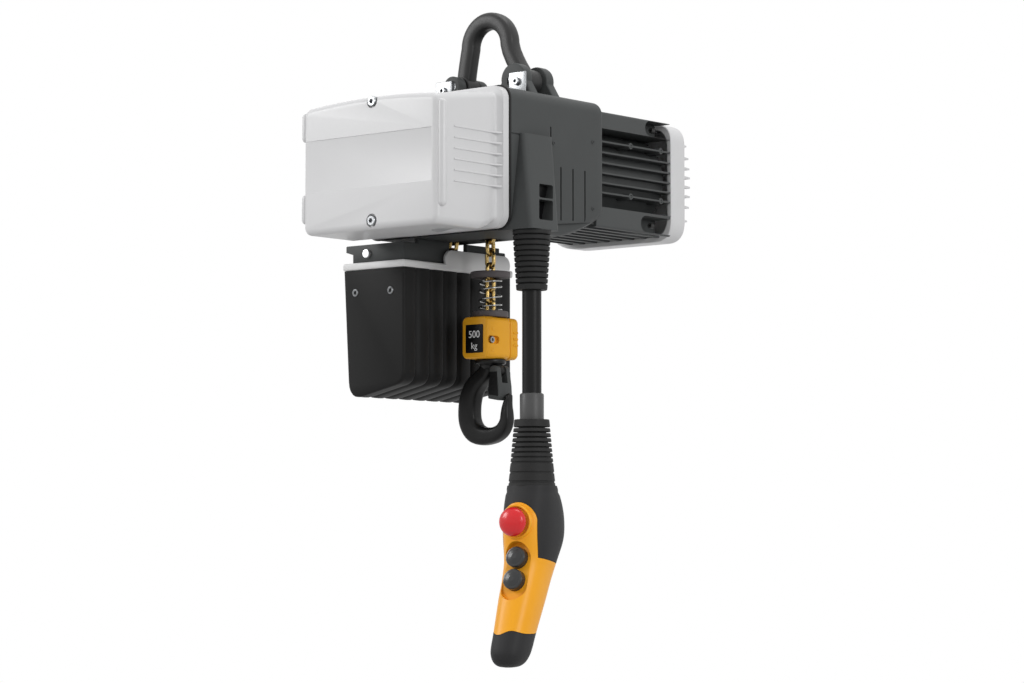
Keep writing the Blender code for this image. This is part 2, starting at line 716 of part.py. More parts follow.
def gear_train():
    """Output gear, cluster gear and rotor, meshed at rest."""
    output_far = OUTPUT_FRONT + OUTPUT_WIDTH
    cluster_far = CLUSTER_FRONT + CLUSTER_WIDTH
    output = involute_gear(
        WHEEL_AXIS, GEAR_TEETH, OUTPUT_FRONT, output_far, LAY_AXIS, False, WHEEL_SHAFT + GAP)
    output.name = "output_gear"
    cluster = involute_gear(
        LAY_AXIS, GEAR_TEETH, CLUSTER_FRONT, cluster_far, MOTOR_AXIS, False, 0)
    cluster.name = "cluster_gear"
    small = involute_gear(
        LAY_AXIS, PINION_TEETH, OUTPUT_FRONT, CLUSTER_FRONT + OVERCUT, WHEEL_AXIS, True, 0)
    combine(cluster, small, "UNION")
    shaft = rod("Y", LAY_AXIS, LAYSHAFT, PLATE_OFFSET, BODY_BACK, 16)
    combine(cluster, cutter(shaft), "UNION")
    rotor = involute_gear(
        MOTOR_AXIS, PINION_TEETH, CLUSTER_FRONT, cluster_far, LAY_AXIS, True, 0)
    rotor.name = "rotor"
    neck = 0.006
    fan_seat = FAN_COVER_BACK - FAN_COVER_WALL - 0.003
    profile = [
        (0, cluster_far - OVERCUT), (neck, cluster_far - OVERCUT), (neck, BODY_BACK - BODY_WALL - 0.003),
        (ROTOR_SHAFT, BODY_BACK - BODY_WALL - 0.003), (ROTOR_SHAFT, STATOR_FRONT + 0.002),
        (ROTOR_RADIUS, STATOR_FRONT + 0.002), (ROTOR_RADIUS, STATOR_BACK - 0.002),
        (ROTOR_SHAFT, STATOR_BACK - 0.002), (ROTOR_SHAFT, fan_seat), (0, fan_seat)]
    combine(rotor, cutter(turned("Y", MOTOR_AXIS, profile, 24)), "UNION")
    for piece, axis in ((output, WHEEL_AXIS), (cluster, LAY_AXIS), (rotor, MOTOR_AXIS)):
        hang_from(piece, (axis[0], 0, axis[1]))


def rotor_wheels():
    """Brake disc and cooling fan on the rotor's shaft."""
    inner = ROTOR_SHAFT + GAP
    disc_front = STATOR_BACK + 0.004 + BRAKE_COIL_LENGTH + 0.001
    disc = ring(
        "Y", MOTOR_AXIS, inner, BRAKE_DISC_RADIUS, disc_front, disc_front + BRAKE_DISC_THICK)
    disc_piece = finish("brake_disc", disc, STEEL)
    fan_front = MOTOR_BACK + 0.003
    fan_back = fan_front + FAN_LENGTH
    hub = ring("Y", MOTOR_AXIS, inner, ROTOR_SHAFT + 0.006, fan_front, fan_back)
    fan = finish("cooling_fan", hub, BLACK_PLASTIC)
    for blade in range(FAN_BLADES):
        angle = 2 * math.pi * blade / FAN_BLADES
        plate = box((ROTOR_SHAFT + 0.003, fan_front, -0.001), (FAN_RADIUS, fan_back, 0.001))
        turn = Matrix.Rotation(angle, 4, "Y")
        spot = Matrix.Translation((MOTOR_X, 0, MOTOR_Z))
        bmesh.ops.transform(plate, matrix=spot @ turn, verts=plate.verts)
        combine(fan, cutter(plate), "UNION")
    for piece in (disc_piece, fan):
        hang_from(piece, (MOTOR_X, 0, MOTOR_Z))


def plates_and_bearings():
    """The two plates across the body that carry the wheel, and its bearings."""
    outline = inner_outline(GAP)
    front_far = -PLATE_OFFSET
    front_near = front_far - PLATE_THICK
    bearing_plate = finish("bearing_plate", prism("Y", outline, front_near, front_far), DARK_PAINT)
    gear_plate_far = PLATE_OFFSET + PLATE_THICK
    gear_plate = finish("gear_plate", prism("Y", outline, PLATE_OFFSET, gear_plate_far), DARK_PAINT)
    for x in (BODY_LEFT + BOARD_INSET, BODY_RIGHT - BOARD_INSET):
        for z in (BODY_BOTTOM + BOARD_INSET, BODY_TOP - BOARD_INSET):
            half = POST_SIDE / 2
            post = box(
                (x - half, BOARD_Y + GAP, z - half), (x + half, front_near + OVERCUT, z + half))
            combine(bearing_plate, cutter(post), "UNION")
    for plate, near, far, side in (
            (bearing_plate, front_near, front_far, "front"),
            (gear_plate, PLATE_OFFSET, gear_plate_far, "rear")):
        seat = rod("Y", WHEEL_AXIS, BEARING_OUTER + GAP, near - OVERCUT, far + OVERCUT, 16)
        combine(plate, cutter(seat))
        bearing = ring("Y", WHEEL_AXIS, WHEEL_SHAFT + GAP, BEARING_OUTER, near, far, 16)
        finish("wheel_bearing_" + side, bearing, STEEL)
    lay_hole = rod(
        "Y", LAY_AXIS, LAYSHAFT + GAP, PLATE_OFFSET - OVERCUT, gear_plate_far + OVERCUT, 16)
    combine(gear_plate, cutter(lay_hole))


def electrics():
    """Control board on its posts, with the contactor on it."""
    reach = BOARD_INSET - POST_SIDE
    near = BOARD_Y - BOARD_THICK
    board = box(
        (BODY_LEFT + reach, near, BODY_BOTTOM + reach), (BODY_RIGHT - reach, BOARD_Y, BODY_TOP - reach))
    finish("control_board", board, BOARD_GREEN)
    face = near - GAP
    wide, deep, tall = CONTACTOR_SIZE
    low_z = MOTOR_Z - tall / 2
    contactor = box((-wide - 0.03, face - deep, low_z), (-0.03, face, low_z + tall))
    finish("contactor", contactor, BLACK_PLASTIC)


def oval_link(turned_over, middle):
    """One chain link standing along Z, in the XZ plane or turned a quarter round."""
    straight = (LINK_PITCH + WIRE) / 2 - LINK_HALF_WIDTH
    path = arc(0, straight, LINK_HALF_WIDTH, 0, 180, 3) + arc(0, -straight, LINK_HALF_WIDTH, 180, 360, 3)
    sizes = [WIRE] * len(path)
    link = sweep(path, sizes, sizes, 6, closed=True)
    if turned_over:
        bmesh.ops.rotate(link, cent=(0, 0, 0), matrix=Matrix.Rotation(math.pi / 2, 3, "Z"), verts=link.verts)
    bmesh.ops.transform(link, matrix=middle, verts=link.verts)
    return link


def chain(name, places):
    """Links along a run of places, seated on one another."""
    runs = []
    for start in (0, 1):
        joined = bmesh.new()
        for index in range(start, len(places), 2):
            link = oval_link(start == 1, places[index])
            scratch = bpy.data.meshes.new("link")
            link.to_mesh(scratch)
            link.free()
            joined.from_mesh(scratch)
            bpy.data.meshes.remove(scratch)
        runs.append(joined)
    whole = finish(name, runs[0], GOLD_ZINC, 60)
    return combine(whole, cutter(runs[1]), "UNION")


def chains():
    """Load fall, the links on the wheel and the slack fall."""
    step = LINK_PITCH + LINK_SEAT
    anchor_z = BLOCK_ROOF - LINK_PITCH / 2
    count = 1 + int((FALL_TOP - anchor_z) / step)
    fall = chain("load_chain", [Matrix.Translation((0, 0, anchor_z + step * n)) for n in range(count)])
    hang_from(fall, (0, 0, anchor_z))
    turn = 2 * math.asin(step / (2 * WHEEL_RADIUS))
    on_wheel = []
    for index in range(3):
        angle = math.pi / 2 + (index - 1) * turn
        spot = Matrix.Translation((
            WHEEL_X + WHEEL_RADIUS * math.cos(angle), 0, WHEEL_Z + WHEEL_RADIUS * math.sin(angle)))
        on_wheel.append(spot @ Matrix.Rotation(-angle, 4, "Y"))
    wrapped = chain("wheel_chain", on_wheel)
    hang_from(wrapped, (WHEEL_X, 0, WHEEL_Z))
    drop = SLACK_TOP - SLACK_BOTTOM
    lean = math.atan2(SLACK_LEAN, drop)
    links = int(math.hypot(drop, SLACK_LEAN) / step)
    tilt = Matrix.Rotation(lean, 4, "Y")
    falls = []
    for index in range(links):
        along = LINK_PITCH + index * step
        spot = (2 * WHEEL_X - along * math.sin(lean), 0, SLACK_TOP - along * math.cos(lean))
        falls.append(Matrix.Translation(spot) @ tilt)
    chain("slack_chain", falls)


def pocket_wheel():
    """Chain wheel and its shaft: a groove for upright links and ribs between the flat ones."""
    lay = math.cos(math.pi / (2 * POCKETS)) * WHEEL_RADIUS
    floor = lay - WIRE / 2 - 0.0007
    groove = lay - LINK_HALF_WIDTH - WIRE / 2 - 0.0008
    groove_half = WIRE / 2 + 0.0006
    rib_tip = WHEEL_RADIUS - WIRE / 2 - 0.0005
    half = WHEEL_HALF_WIDTH
    front = -PLATE_OFFSET - PLATE_THICK - 0.002
    back = OUTPUT_FRONT + OUTPUT_WIDTH + 0.001
    profile = [
        (0, front), (WHEEL_SHAFT, front), (WHEEL_SHAFT, -half), (WHEEL_FLANGE, -half),
        (WHEEL_FLANGE, -POCKET_HALF_WIDTH), (floor, -POCKET_HALF_WIDTH), (floor, -groove_half),
        (groove, -groove_half), (groove, groove_half), (floor, groove_half),
        (floor, POCKET_HALF_WIDTH), (WHEEL_FLANGE, POCKET_HALF_WIDTH), (WHEEL_FLANGE, half),
        (WHEEL_SHAFT, half), (WHEEL_SHAFT, back), (0, back)]
    wheel = finish("pocket_wheel", turned("Y", WHEEL_AXIS, profile, 24), STEEL)
    for pocket in range(POCKETS):
        angle = 2 * math.pi * pocket / POCKETS
        for side in (-1, 1):
            ends = sorted((side * (groove_half + 0.0002), side * (POCKET_HALF_WIDTH - 0.0002)))
            rib = box((floor - 0.002, ends[0], -0.0012), (rib_tip, ends[1], 0.0012))
            spot = Matrix.Translation((WHEEL_X, 0, WHEEL_Z)) @ Matrix.Rotation(angle, 4, "Y")
            bmesh.ops.transform(rib, matrix=spot, verts=rib.verts)
            combine(wheel, cutter(rib), "UNION")
    hang_from(wheel, (WHEEL_X, 0, WHEEL_Z))


def chain_guide():
    """Plastic block in the body's floor that leads both falls."""
    low = BODY_BOTTOM
    block = box((GUIDE_LEFT, -GUIDE_HALF_Y, low), (GUIDE_RIGHT, GUIDE_HALF_Y, GUIDE_TOP))
    guide = finish("chain_guide", block, BLACK_PLASTIC)
    slack_right = 2 * WHEEL_X + LINK_HALF_WIDTH + WIRE
    spans = ((-GUIDE_HOLE, GUIDE_HOLE), (GUIDE_LEFT + 0.003, slack_right))
    for left, right in spans:
        hole = box((left, -GUIDE_HOLE, low - OVERCUT), (right, GUIDE_HOLE, GUIDE_TOP + OVERCUT))
        combine(guide, cutter(hole))


def socket_cover():
    """Hood on the body's right side that swells out over the pendant's cable entry."""
    wall = BODY_RIGHT + GAP
    rings = []
    for share in (0.0, 0.35, 0.7, 1.0):
        height = SOCKET_TOP + (SOCKET_BOTTOM - SOCKET_TOP) * share
        out = wall + SOCKET_LIP + (SOCKET_OUT - wall - SOCKET_LIP) * math.sin(share * math.pi / 2)
        squeeze = 0.006 * (1 - share)
        outline = rounded(wall - 0.020, out, SOCKET_FRONT + squeeze, SOCKET_BACK - squeeze, 0.010)
        rings.append([Vector((u, v, height)) for u, v in outline])
    hood = finish("cable_socket_cover", loft(rings), DARK_PAINT, 50)
    body_outline = rounded(
        BODY_LEFT - GAP, wall, BODY_BOTTOM - GAP, BODY_TOP + GAP, BODY_CORNER)
    combine(hood, cutter(prism("Y", body_outline, SOCKET_FRONT - 0.01, SOCKET_BACK + 0.01)))


def bin_outline(inset, top):
    """The container's slanted bucket shape across the hoist, drawn in by an inset."""
    left = BIN_LEFT + inset
    right = BIN_RIGHT - inset
    foot = left + BIN_TAPER
    low = BIN_LOW + inset
    heel = BIN_HEEL + inset
    corner = 0.014
    return [
        (right, top), (left, top), (foot - 0.001, low + corner), (foot + 0.003, low + 0.004),
        (foot + corner, low), (right - corner, heel), (right - 0.003, heel + 0.005),
        (right, heel + corner)]


def container():
    """Ribbed bucket for the slack chain, with its rim and the bracket that hangs it."""
    pitch = (BIN_BACK - BIN_FRONT) / BIN_RIDGES
    ease = 0.004
    stations = [(BIN_FRONT, 0.0)]
    for ridge in range(BIN_RIDGES):
        near = BIN_FRONT + pitch * ridge
        if ridge:
            stations += [(near, BIN_GROOVE), (near + ease, 0.0)]
        stations.append((near + pitch - ease, 0.0))
    stations.append((BIN_BACK, BIN_GROOVE))
    rings = [[place("Y", u, v, y) for u, v in bin_outline(inset, BIN_TOP)] for y, inset in stations]
    bucket = finish("chain_container", loft(rings), BLACK_PLASTIC, 25)
    inside = bin_outline(BIN_WALL + BIN_GROOVE, BIN_TOP + 0.01)
    combine(bucket, cutter(prism("Y", inside, BIN_FRONT + BIN_WALL, BIN_BACK - BIN_WALL)))
    rim_low = BIN_TOP + GAP
    rim_top = rim_low + RIM_HEIGHT
    outer = rounded(
        BIN_LEFT - RIM_PROUD, BIN_RIGHT + RIM_PROUD, BIN_FRONT - RIM_PROUD, BIN_BACK + RIM_PROUD, 0.003)
    rim = finish("container_rim", prism("Z", outer, rim_low, rim_top), LIGHT_PAINT)
    arch = rounded(ARCH_FRONT, ARCH_BACK, rim_low + 0.002, ARCH_TOP, ARCH_CORNER, 4)
    plate = prism("X", arch, BIN_RIGHT + RIM_PROUD - 0.004, BIN_RIGHT + RIM_PROUD)
    combine(rim, cutter(plate), "UNION")
    mouth = box(
        (BIN_LEFT + RIM_WALL, BIN_FRONT + RIM_WALL, rim_low - OVERCUT),
        (BIN_RIGHT - RIM_WALL, BIN_BACK - RIM_WALL, 0))
    combine(rim, cutter(mouth))
    bracket_low = rim_top + GAP
    left = BIN_LEFT + BRACKET_INSET
    right = BIN_RIGHT - BRACKET_INSET
    front = BIN_FRONT + BRACKET_INSET
    back = BIN_BACK - BRACKET_INSET
    frame = box((left, front, bracket_low), (right, back, BRACKET_TOP))
    bracket = finish("container_bracket", frame, DARK_PAINT)
    rail = box(
        (right - BRACKET_WALL, BODY_FRONT + 0.01, BRACKET_TOP - 0.004),
        (right, BODY_BACK - 0.01, BODY_BOTTOM - GAP))
    combine(bracket, cutter(rail), "UNION")
    through = box(
        (left + BRACKET_WALL, front + BRACKET_WALL, bracket_low - OVERCUT),
        (right - BRACKET_WALL, back - BRACKET_WALL, 0))
    combine(bracket, cutter(through))
    chain_way = GUIDE_HALF_Y + 0.001
    notch = box((right - BRACKET_WALL - OVERCUT, -chain_way, bracket_low - OVERCUT), (0, chain_way, 0))
    combine(bracket, cutter(notch))
    pin_axis = (CONTAINER_PIN_X, CONTAINER_PIN_Z)
    bore = rod("Y", pin_axis, CONTAINER_PIN_RADIUS + GAP, front - OVERCUT, front + 0.02, 16)
    combine(bracket, cutter(bore))


def spring_points():
    """The buffer spring's helix, with a straight lead at each end."""
    low = BLOCK_TOP + GAP + DISC_THICK + GAP
    high = UPPER_DISC_TOP - DISC_THICK - GAP
    bottom = low + 1.5 * SPRING_WIRE
    top = high - 1.5 * SPRING_WIRE
    count = SPRING_TURNS * SPRING_POINTS
    points = [Vector((SPRING_RADIUS, 0, low))]
    for index in range(count + 1):
        angle = 2 * math.pi * index / SPRING_POINTS
        height = bottom + (top - bottom) * index / count
        points.append(Vector((SPRING_RADIUS * math.cos(angle), SPRING_RADIUS * math.sin(angle), height)))
    points.append(Vector((SPRING_RADIUS, 0, high)))
    return points


def tube(name, points, radius, resolution, material):
    """A round wire or cord along points."""
    curve = bpy.data.curves.new(name, "CURVE")
    curve.dimensions = "3D"
    curve.bevel_depth = radius
    curve.bevel_resolution = resolution
    curve.use_fill_caps = True
    spline = curve.splines.new("POLY")
    spline.points.add(len(points) - 1)
    for knot, point in zip(spline.points, points):
        knot.co = (*point, 1)
    curve.materials.append(material)
    wire = bpy.data.objects.new(name, curve)
    bpy.context.scene.collection.objects.link(wire)
    return wire


def least_gap(points, wire):
    """The spring's smallest clearance to its own neighbouring turns."""
    nearest = 1.0
    apart = SPRING_POINTS // 2
    for index, point in enumerate(points):
        for other in points[index + apart:]:
            nearest = min(nearest, (point - other).length - wire)
    return nearest


def buffer():
    """Rubber discs and the spring between them, round the load chain."""
    low = BLOCK_TOP + GAP
    disc = ring("Z", (0, 0), DISC_HOLE, LOWER_DISC_RADIUS, low, low + DISC_THICK)
    finish("buffer_disc_lower", disc, RUBBER)
    under = UPPER_DISC_TOP - DISC_THICK
    disc = ring("Z", (0, 0), DISC_HOLE, UPPER_DISC_RADIUS, under, UPPER_DISC_TOP)
    hang_from(finish("buffer_disc_upper", disc, RUBBER), (0, 0, UPPER_DISC_TOP))
    points = spring_points()
    tube("buffer_spring", points, SPRING_WIRE / 2, 1, STEEL)
    print("buffer spring least gap to itself, mm:", round(least_gap(points, SPRING_WIRE) * 1000, 2))


def hook_block():
    """Two yellow block halves clamped round the chain's end and the hook's shank."""
    outline = rounded(-BLOCK_HALF_X, BLOCK_HALF_X, BLOCK_BOTTOM, BLOCK_TOP, BLOCK_CORNER, 3)
    spans = (
        ("hook_block_front", -BLOCK_HALF_Y, BLOCK_PARTING - GAP / 2),
        ("hook_block_back", BLOCK_PARTING + GAP / 2, BLOCK_HALF_Y))
    front_half, _back_half = [
        finish(name, prism("Y", outline, near, far), YELLOW) for name, near, far in spans]
    floor = BLOCK_BOTTOM + BLOCK_FLOOR
    entry = LINK_HALF_WIDTH + WIRE / 2 + 0.0008
    well = [
        (0, BLOCK_BOTTOM - OVERCUT), (SHANK + GAP, BLOCK_BOTTOM - OVERCUT), (SHANK + GAP, floor),
        (BLOCK_CAVITY, floor), (BLOCK_CAVITY, BLOCK_ROOF), (entry, BLOCK_ROOF),
        (entry, BLOCK_TOP + OVERCUT), (0, BLOCK_TOP + OVERCUT)]
    combine(front_half, cutter(turned("Z", (0, 0), well)))
    slot = box(
        (BLOCK_HALF_X - BOLT_SLOT, BLOCK_BOLT_Y - 0.007, BLOCK_BOLT_Z - 0.0047),
        (BLOCK_HALF_X + OVERCUT, BLOCK_BOLT_Y + 0.010, BLOCK_BOLT_Z + 0.0047))
    combine(front_half, cutter(slot))
    bolt_axis = (BLOCK_BOLT_Y, BLOCK_BOLT_Z)
    end = BLOCK_HALF_X - 0.001
    bore = rod("X", bolt_axis, BLOCK_BOLT_RADIUS + GAP, -BLOCK_HALF_X + 0.004, end, 16)
    combine(front_half, cutter(bore))
    anchor = (0, BLOCK_ROOF - LINK_PITCH + ANCHOR_RADIUS + 0.001)
    pin_near = -BLOCK_CAVITY - 0.005
    bore = rod("Y", anchor, ANCHOR_RADIUS + GAP, pin_near - GAP, 0, 12)
    combine(front_half, cutter(bore))
    finish("chain_anchor_pin", rod("Y", anchor, ANCHOR_RADIUS, pin_near, BLOCK_CAVITY - 0.002, 12), STEEL)


def hook():
    """Swivelling forged hook with its nut and thrust bearing."""
    floor = BLOCK_BOTTOM + BLOCK_FLOOR
    race = floor + GAP
    bearing = ring("Z", (0, 0), SHANK + GAP, BLOCK_CAVITY - GAP, race, race + BEARING_HEIGHT)
    finish("thrust_bearing", bearing, STEEL)
    seat = race + BEARING_HEIGHT + GAP
    nut = ring("Z", (0, 0), SHANK + GAP, BLOCK_CAVITY - 0.001, seat, seat + NUT_HEIGHT, 12)
    hang_from(finish("hook_nut", nut, STEEL), (0, 0, seat))
    collar_top = BLOCK_BOTTOM - GAP
    collar_low = collar_top - COLLAR_THICK
    bowl = (-0.0005, -0.400)
    path = [(0, collar_low - 0.003), (-0.0055, -0.3620), (-0.0145, -0.3690)]
    path += [(-0.0220, -0.3780), (-0.026, -0.390)]
    widths = [0.016, 0.0165, 0.0175, 0.0185, 0.019]
    thick = [HOOK_THICK] * 5
    for step in range(8):
        share = step / 7
        radius = 0.0262 - 0.0026 * share
        angle = math.radians(188 + 164 * share)
        path.append((bowl[0] + radius * math.cos(angle), bowl[1] + radius * math.sin(angle)))
        widths.append(0.019 - 0.009 * max(0, share - 0.4) / 0.6)
        thick.append(HOOK_THICK - 0.005 * max(0, share - 0.4) / 0.6)
    path += [(0.0235, -0.396), (0.0255, -0.388)]
    widths += [0.008, 0.0045]
    thick += [0.011, 0.008]
    body = finish("hook", sweep(path, widths, thick, 10, corner=3.0), FORGED, 45)
    top = seat + NUT_HEIGHT + 0.001
    shank = [
        (0, collar_low - 0.004), (SHANK, collar_low - 0.004), (SHANK, collar_low), (COLLAR, collar_low),
        (COLLAR, collar_top), (SHANK, collar_top), (SHANK, top), (0, top)]
    combine(body, cutter(turned("Z", (0, 0), shank)), "UNION")
    root = [(-0.002, collar_low + 0.001), (-0.010, -0.364)]
    lug = root + arc(LATCH_X, LATCH_Z, LATCH_EYE - 0.001, -120, 45, 6)
    lug += [(LATCH_X, collar_low + 0.001)]
    combine(body, cutter(prism("Y", lug, -LATCH_EAR_HALF_Y, LATCH_EAR_HALF_Y)), "UNION")
    latch_axis = (LATCH_X, LATCH_Z)
    bore = rod("Y", latch_axis, LATCH_PIN_RADIUS + GAP, -0.02, 0.02, 12)
    combine(body, cutter(bore))
    hang_from(body, (0, 0, collar_top))


def latch():
    """Sprung gate that closes the hook's mouth, forked over the hook's lug."""
    reach = [(0.0210, -0.3870), (0.0190, -0.3900), (0.0150, -0.3900), (0.0050, -0.3780)]
    outline = arc(LATCH_X, LATCH_Z, LATCH_EYE, 200, -10, 8) + reach
    gate = finish("hook_latch", prism("Y", outline, -LATCH_HALF_Y, LATCH_HALF_Y), BLACK_PLASTIC)
    fork = rod("Y", (LATCH_X, LATCH_Z), 0.0145, -LATCH_EAR_HALF_Y - 0.0004, LATCH_EAR_HALF_Y + 0.0004)
    combine(gate, cutter(fork))
    bore = rod("Y", (LATCH_X, LATCH_Z), LATCH_PIN_RADIUS + GAP, -0.02, 0.02, 12)
    combine(gate, cutter(bore))
    hang_from(gate, (LATCH_X, 0, LATCH_Z))
    pin = rod("Y", (LATCH_X, LATCH_Z), LATCH_PIN_RADIUS, -LATCH_HALF_Y - 0.001, LATCH_HALF_Y + 0.001, 12)
    hang_from(finish("latch_pin", pin, STEEL), (LATCH_X, 0, LATCH_Z))


def ribbed(low, high, low_radius, high_radius, ribs, depth, bore, mouth):
    """A tapering boot whose ribs stand at two radii, with a bore and a wide mouth below."""
    profile = [(bore, high), (high_radius, high)]
    for rib in range(ribs):
        for part, sunk in ((0.55, 0.0), (1.0, depth)):
            share = (rib + part) / (ribs + 0.5)
            outer = high_radius + (low_radius - high_radius) * share
            profile.append((outer - sunk, high + (low - high) * share))
    profile += [(low_radius, low), (mouth, low), (mouth, low + 0.008), (bore, low + 0.010)]
    return turned("Z", (0, 0), profile, 12, bored=True)


def pendant_lead():
    """Upper boot, cable, sleeve and the pendant's own boot."""
    snug = CABLE_RADIUS + GAP
    boot = ribbed(
        BOOT_BOTTOM, BOOT_TOP, BOOT_END_RADIUS, BOOT_TOP_RADIUS, BOOT_RIBS, BOOT_RIB_DEPTH,
        snug, CABLE_RADIUS + 0.004)
    stand_pendant(finish("upper_boot", boot, RUBBER, 25))
    top = Vector((CABLE_X, CABLE_Y, BOOT_BOTTOM - GAP))
    end = Vector((CABLE_X, CABLE_Y, CABLE_END))
    knots = 5
    route = [top.lerp(end, index / (knots - 1)) for index in range(knots)]
    tube("pendant_cable", route, CABLE_RADIUS, 4, RUBBER)
    low = LOWER_BOOT_TOP + GAP
    stand_pendant(finish("cable_sleeve", ring("Z", (0, 0), snug, SLEEVE_RADIUS, low, SLEEVE_TOP), DARK_PAINT))
    section = pendant_section(LOWER_BOOT_END)
    boot = ribbed(
        LOWER_BOOT_END, LOWER_BOOT_TOP, section[1], 0.0177, LOWER_BOOT_RIBS, BOOT_RIB_DEPTH,
        0.006, 0.010)
    stand_pendant(finish("lower_boot", boot, RUBBER, 25))


PENDANT_SHAPE = (
    (-0.481, 0.000, 0.0225, 0.0225),
    (-0.500, 0.004, 0.0260, 0.0340),
    (-0.517, 0.007, 0.0275, 0.0400),
    (-0.535, 0.006, 0.0270, 0.0390),
    (-0.556, 0.001, 0.0255, 0.0340),
    (-0.575, -0.008, 0.0235, 0.0310),
    (-0.595, -0.0186, 0.0215, 0.0290),
    (-0.626, -0.034, 0.0190, 0.0255),
    (-0.645, -0.043, 0.0180, 0.0240),
    (-0.655, -0.0465, 0.0150, 0.0195),
    (-0.661, -0.048, 0.0080, 0.0105),
)


def pendant_section(height):
    """The pendant's middle, half width and half depth at a height."""
    for upper, lower in zip(PENDANT_SHAPE, PENDANT_SHAPE[1:]):
        if lower[0] <= height <= upper[0]:
            share = (upper[0] - height) / (upper[0] - lower[0])
            return [u + (v - u) * share for u, v in zip(upper[1:], lower[1:])]
    return list(PENDANT_SHAPE[0][1:] if height > PENDANT_SHAPE[0][0] else PENDANT_SHAPE[-1][1:])


def pendant_ring(height):
    """One rounded section of the pendant in its own frame."""
    middle, half_x, half_y = pendant_section(height)
    points = []
    for index in range(16):
        angle = 2 * math.pi * (index + 0.5) / 16
        u = math.copysign(abs(math.cos(angle)) ** 0.8, math.cos(angle))
        v = math.copysign(abs(math.sin(angle)) ** 0.8, math.sin(angle))
        points.append(Vector((half_x * u, middle + half_y * v, height)))
    return points


def pendant_solid(top, bottom):
    """The pendant's outer shape between two heights."""
    heights = [top] + [row[0] for row in PENDANT_SHAPE if bottom < row[0] < top] + [bottom]
    return loft([pendant_ring(height) for height in heights])


def yellow_region(clearance):
    """Space of the handle and its arched face plate, grown by a clearance."""
    half = PLATE_HALF + clearance
    deep = pendant_section(ESTOP_Z)[0] - pendant_section(ESTOP_Z)[2] + PLATE_DEPTH + clearance
    arch = arc(0, PLATE_ARCH_Z, half, 0, 180, 10) + [(-half, -0.60), (half, -0.60)]
    region = finish("cutter", prism("Y", arch, -0.2, deep), STEEL)
    front_z = JOINT_FRONT_Z + clearance
    back_z = JOINT_BACK_Z + clearance
    below = [(-0.2, -0.8), (0.2, -0.8), (0.2, back_z - 0.02), (0.045, back_z), (deep, front_z), (-0.2, front_z)]
    return combine(region, cutter(prism("X", below, -0.1, 0.1)), "UNION")


def button_spot(height):
    """Where a button's axis meets the handle's face."""
    middle, _half_x, half_y = pendant_section(height)
    return Vector((0, middle - half_y, height))


def button_solid(radius, inward, outward, spot):
    """A round piece on a button's tilted axis; it reaches inward and outward of the face."""
    build = rod("Y", (0, 0), radius, -outward, inward, 20)
    lean = Matrix.Rotation(-BUTTON_TILT, 4, "X")
    bmesh.ops.transform(build, matrix=Matrix.Translation(spot) @ lean, verts=build.verts)
    return build


def pendant():
    """Pendant housing, handle, end cap, switches and their buttons."""
    housing = finish("pendant_housing", pendant_solid(HOUSING_TOP, -0.60), BLACK_PLASTIC, 50)
    combine(housing, yellow_region(GAP))
    handle = finish("pendant_handle", pendant_solid(HOUSING_TOP, HANDLE_END), YELLOW, 50)
    combine(handle, yellow_region(0), "INTERSECT")
    cap = finish("pendant_end_cap", pendant_solid(HANDLE_END - GAP, PENDANT_SHAPE[-1][0]), BLACK_PLASTIC, 50)
    low_y = pendant_section(SWITCH_BOTTOM)[0]
    high_y = pendant_section(ESTOP_Z)[0] - 0.004
    half = SWITCH_HALF_Y

    def switch_space(clearance):
        deep = half + clearance
        side = [
            (low_y - deep, SWITCH_BOTTOM - clearance), (low_y + deep, SWITCH_BOTTOM - clearance),
            (high_y + deep, SWITCH_TOP + clearance), (high_y - deep, SWITCH_TOP + clearance)]
        wide = SWITCH_HALF_X + clearance
        return prism("X", side, -wide, wide)

    switches = finish("switch_block", switch_space(0), BLACK_PLASTIC)
    for shell in (housing, handle):
        combine(shell, cutter(switch_space(GAP)))
    estop_face = pendant_section(ESTOP_Z)[0] - pendant_section(ESTOP_Z)[2]
    stem_in = estop_face + 0.012
    stem_out = estop_face - ESTOP_STAND - 0.004
    for shell in (handle, housing, switches):
        stem_hole = rod("Y", (0, ESTOP_Z), ESTOP_STEM + GAP, estop_face - 0.03, stem_in + 0.004)
        combine(shell, cutter(stem_hole))
    stem = finish("estop_stem", rod("Y", (0, ESTOP_Z), ESTOP_STEM, stem_out, stem_in), BLACK_PLASTIC)
    near = estop_face - ESTOP_STAND
    dome = [
        (ESTOP_STEM + GAP, near), (ESTOP_RADIUS * 0.8, near), (ESTOP_RADIUS, near - 0.003),
        (ESTOP_RADIUS * 0.93, near - 0.007), (ESTOP_RADIUS * 0.6, near - 0.0105),
        (0, near - 0.0118), (0, stem_out - GAP), (ESTOP_STEM + GAP, stem_out - GAP)]
    head = finish("estop_head", mushroom(dome), RED)
    for name, height in (("up_button", UP_BUTTON_Z), ("down_button", DOWN_BUTTON_Z)):
        spot = button_spot(height)
        for shell in (handle, housing, switches):
            hole = button_solid(BUTTON_RADIUS + GAP, BUTTON_DEPTH + 0.004, 0.02, spot)
            combine(shell, cutter(hole))
        key = finish(name, button_solid(BUTTON_RADIUS, BUTTON_DEPTH, BUTTON_PROUD, spot), BLACK_PLASTIC)
        keep = hang_from(key, spot)
        turn = Matrix.Rotation(PENDANT_TURN, 4, "Z")
        keep.location = Matrix.Translation((CABLE_X, CABLE_Y, 0)) @ turn @ Vector(spot)
        keep.rotation_euler = (0, 0, PENDANT_TURN)
    for piece in (housing, handle, cap, switches, stem, head):
        stand_pendant(piece)


def mushroom(profile):
    """The emergency stop's head: a dome with a blind bore for its stem."""
    return turned("Y", (0, ESTOP_Z), profile, 24, bored=True)


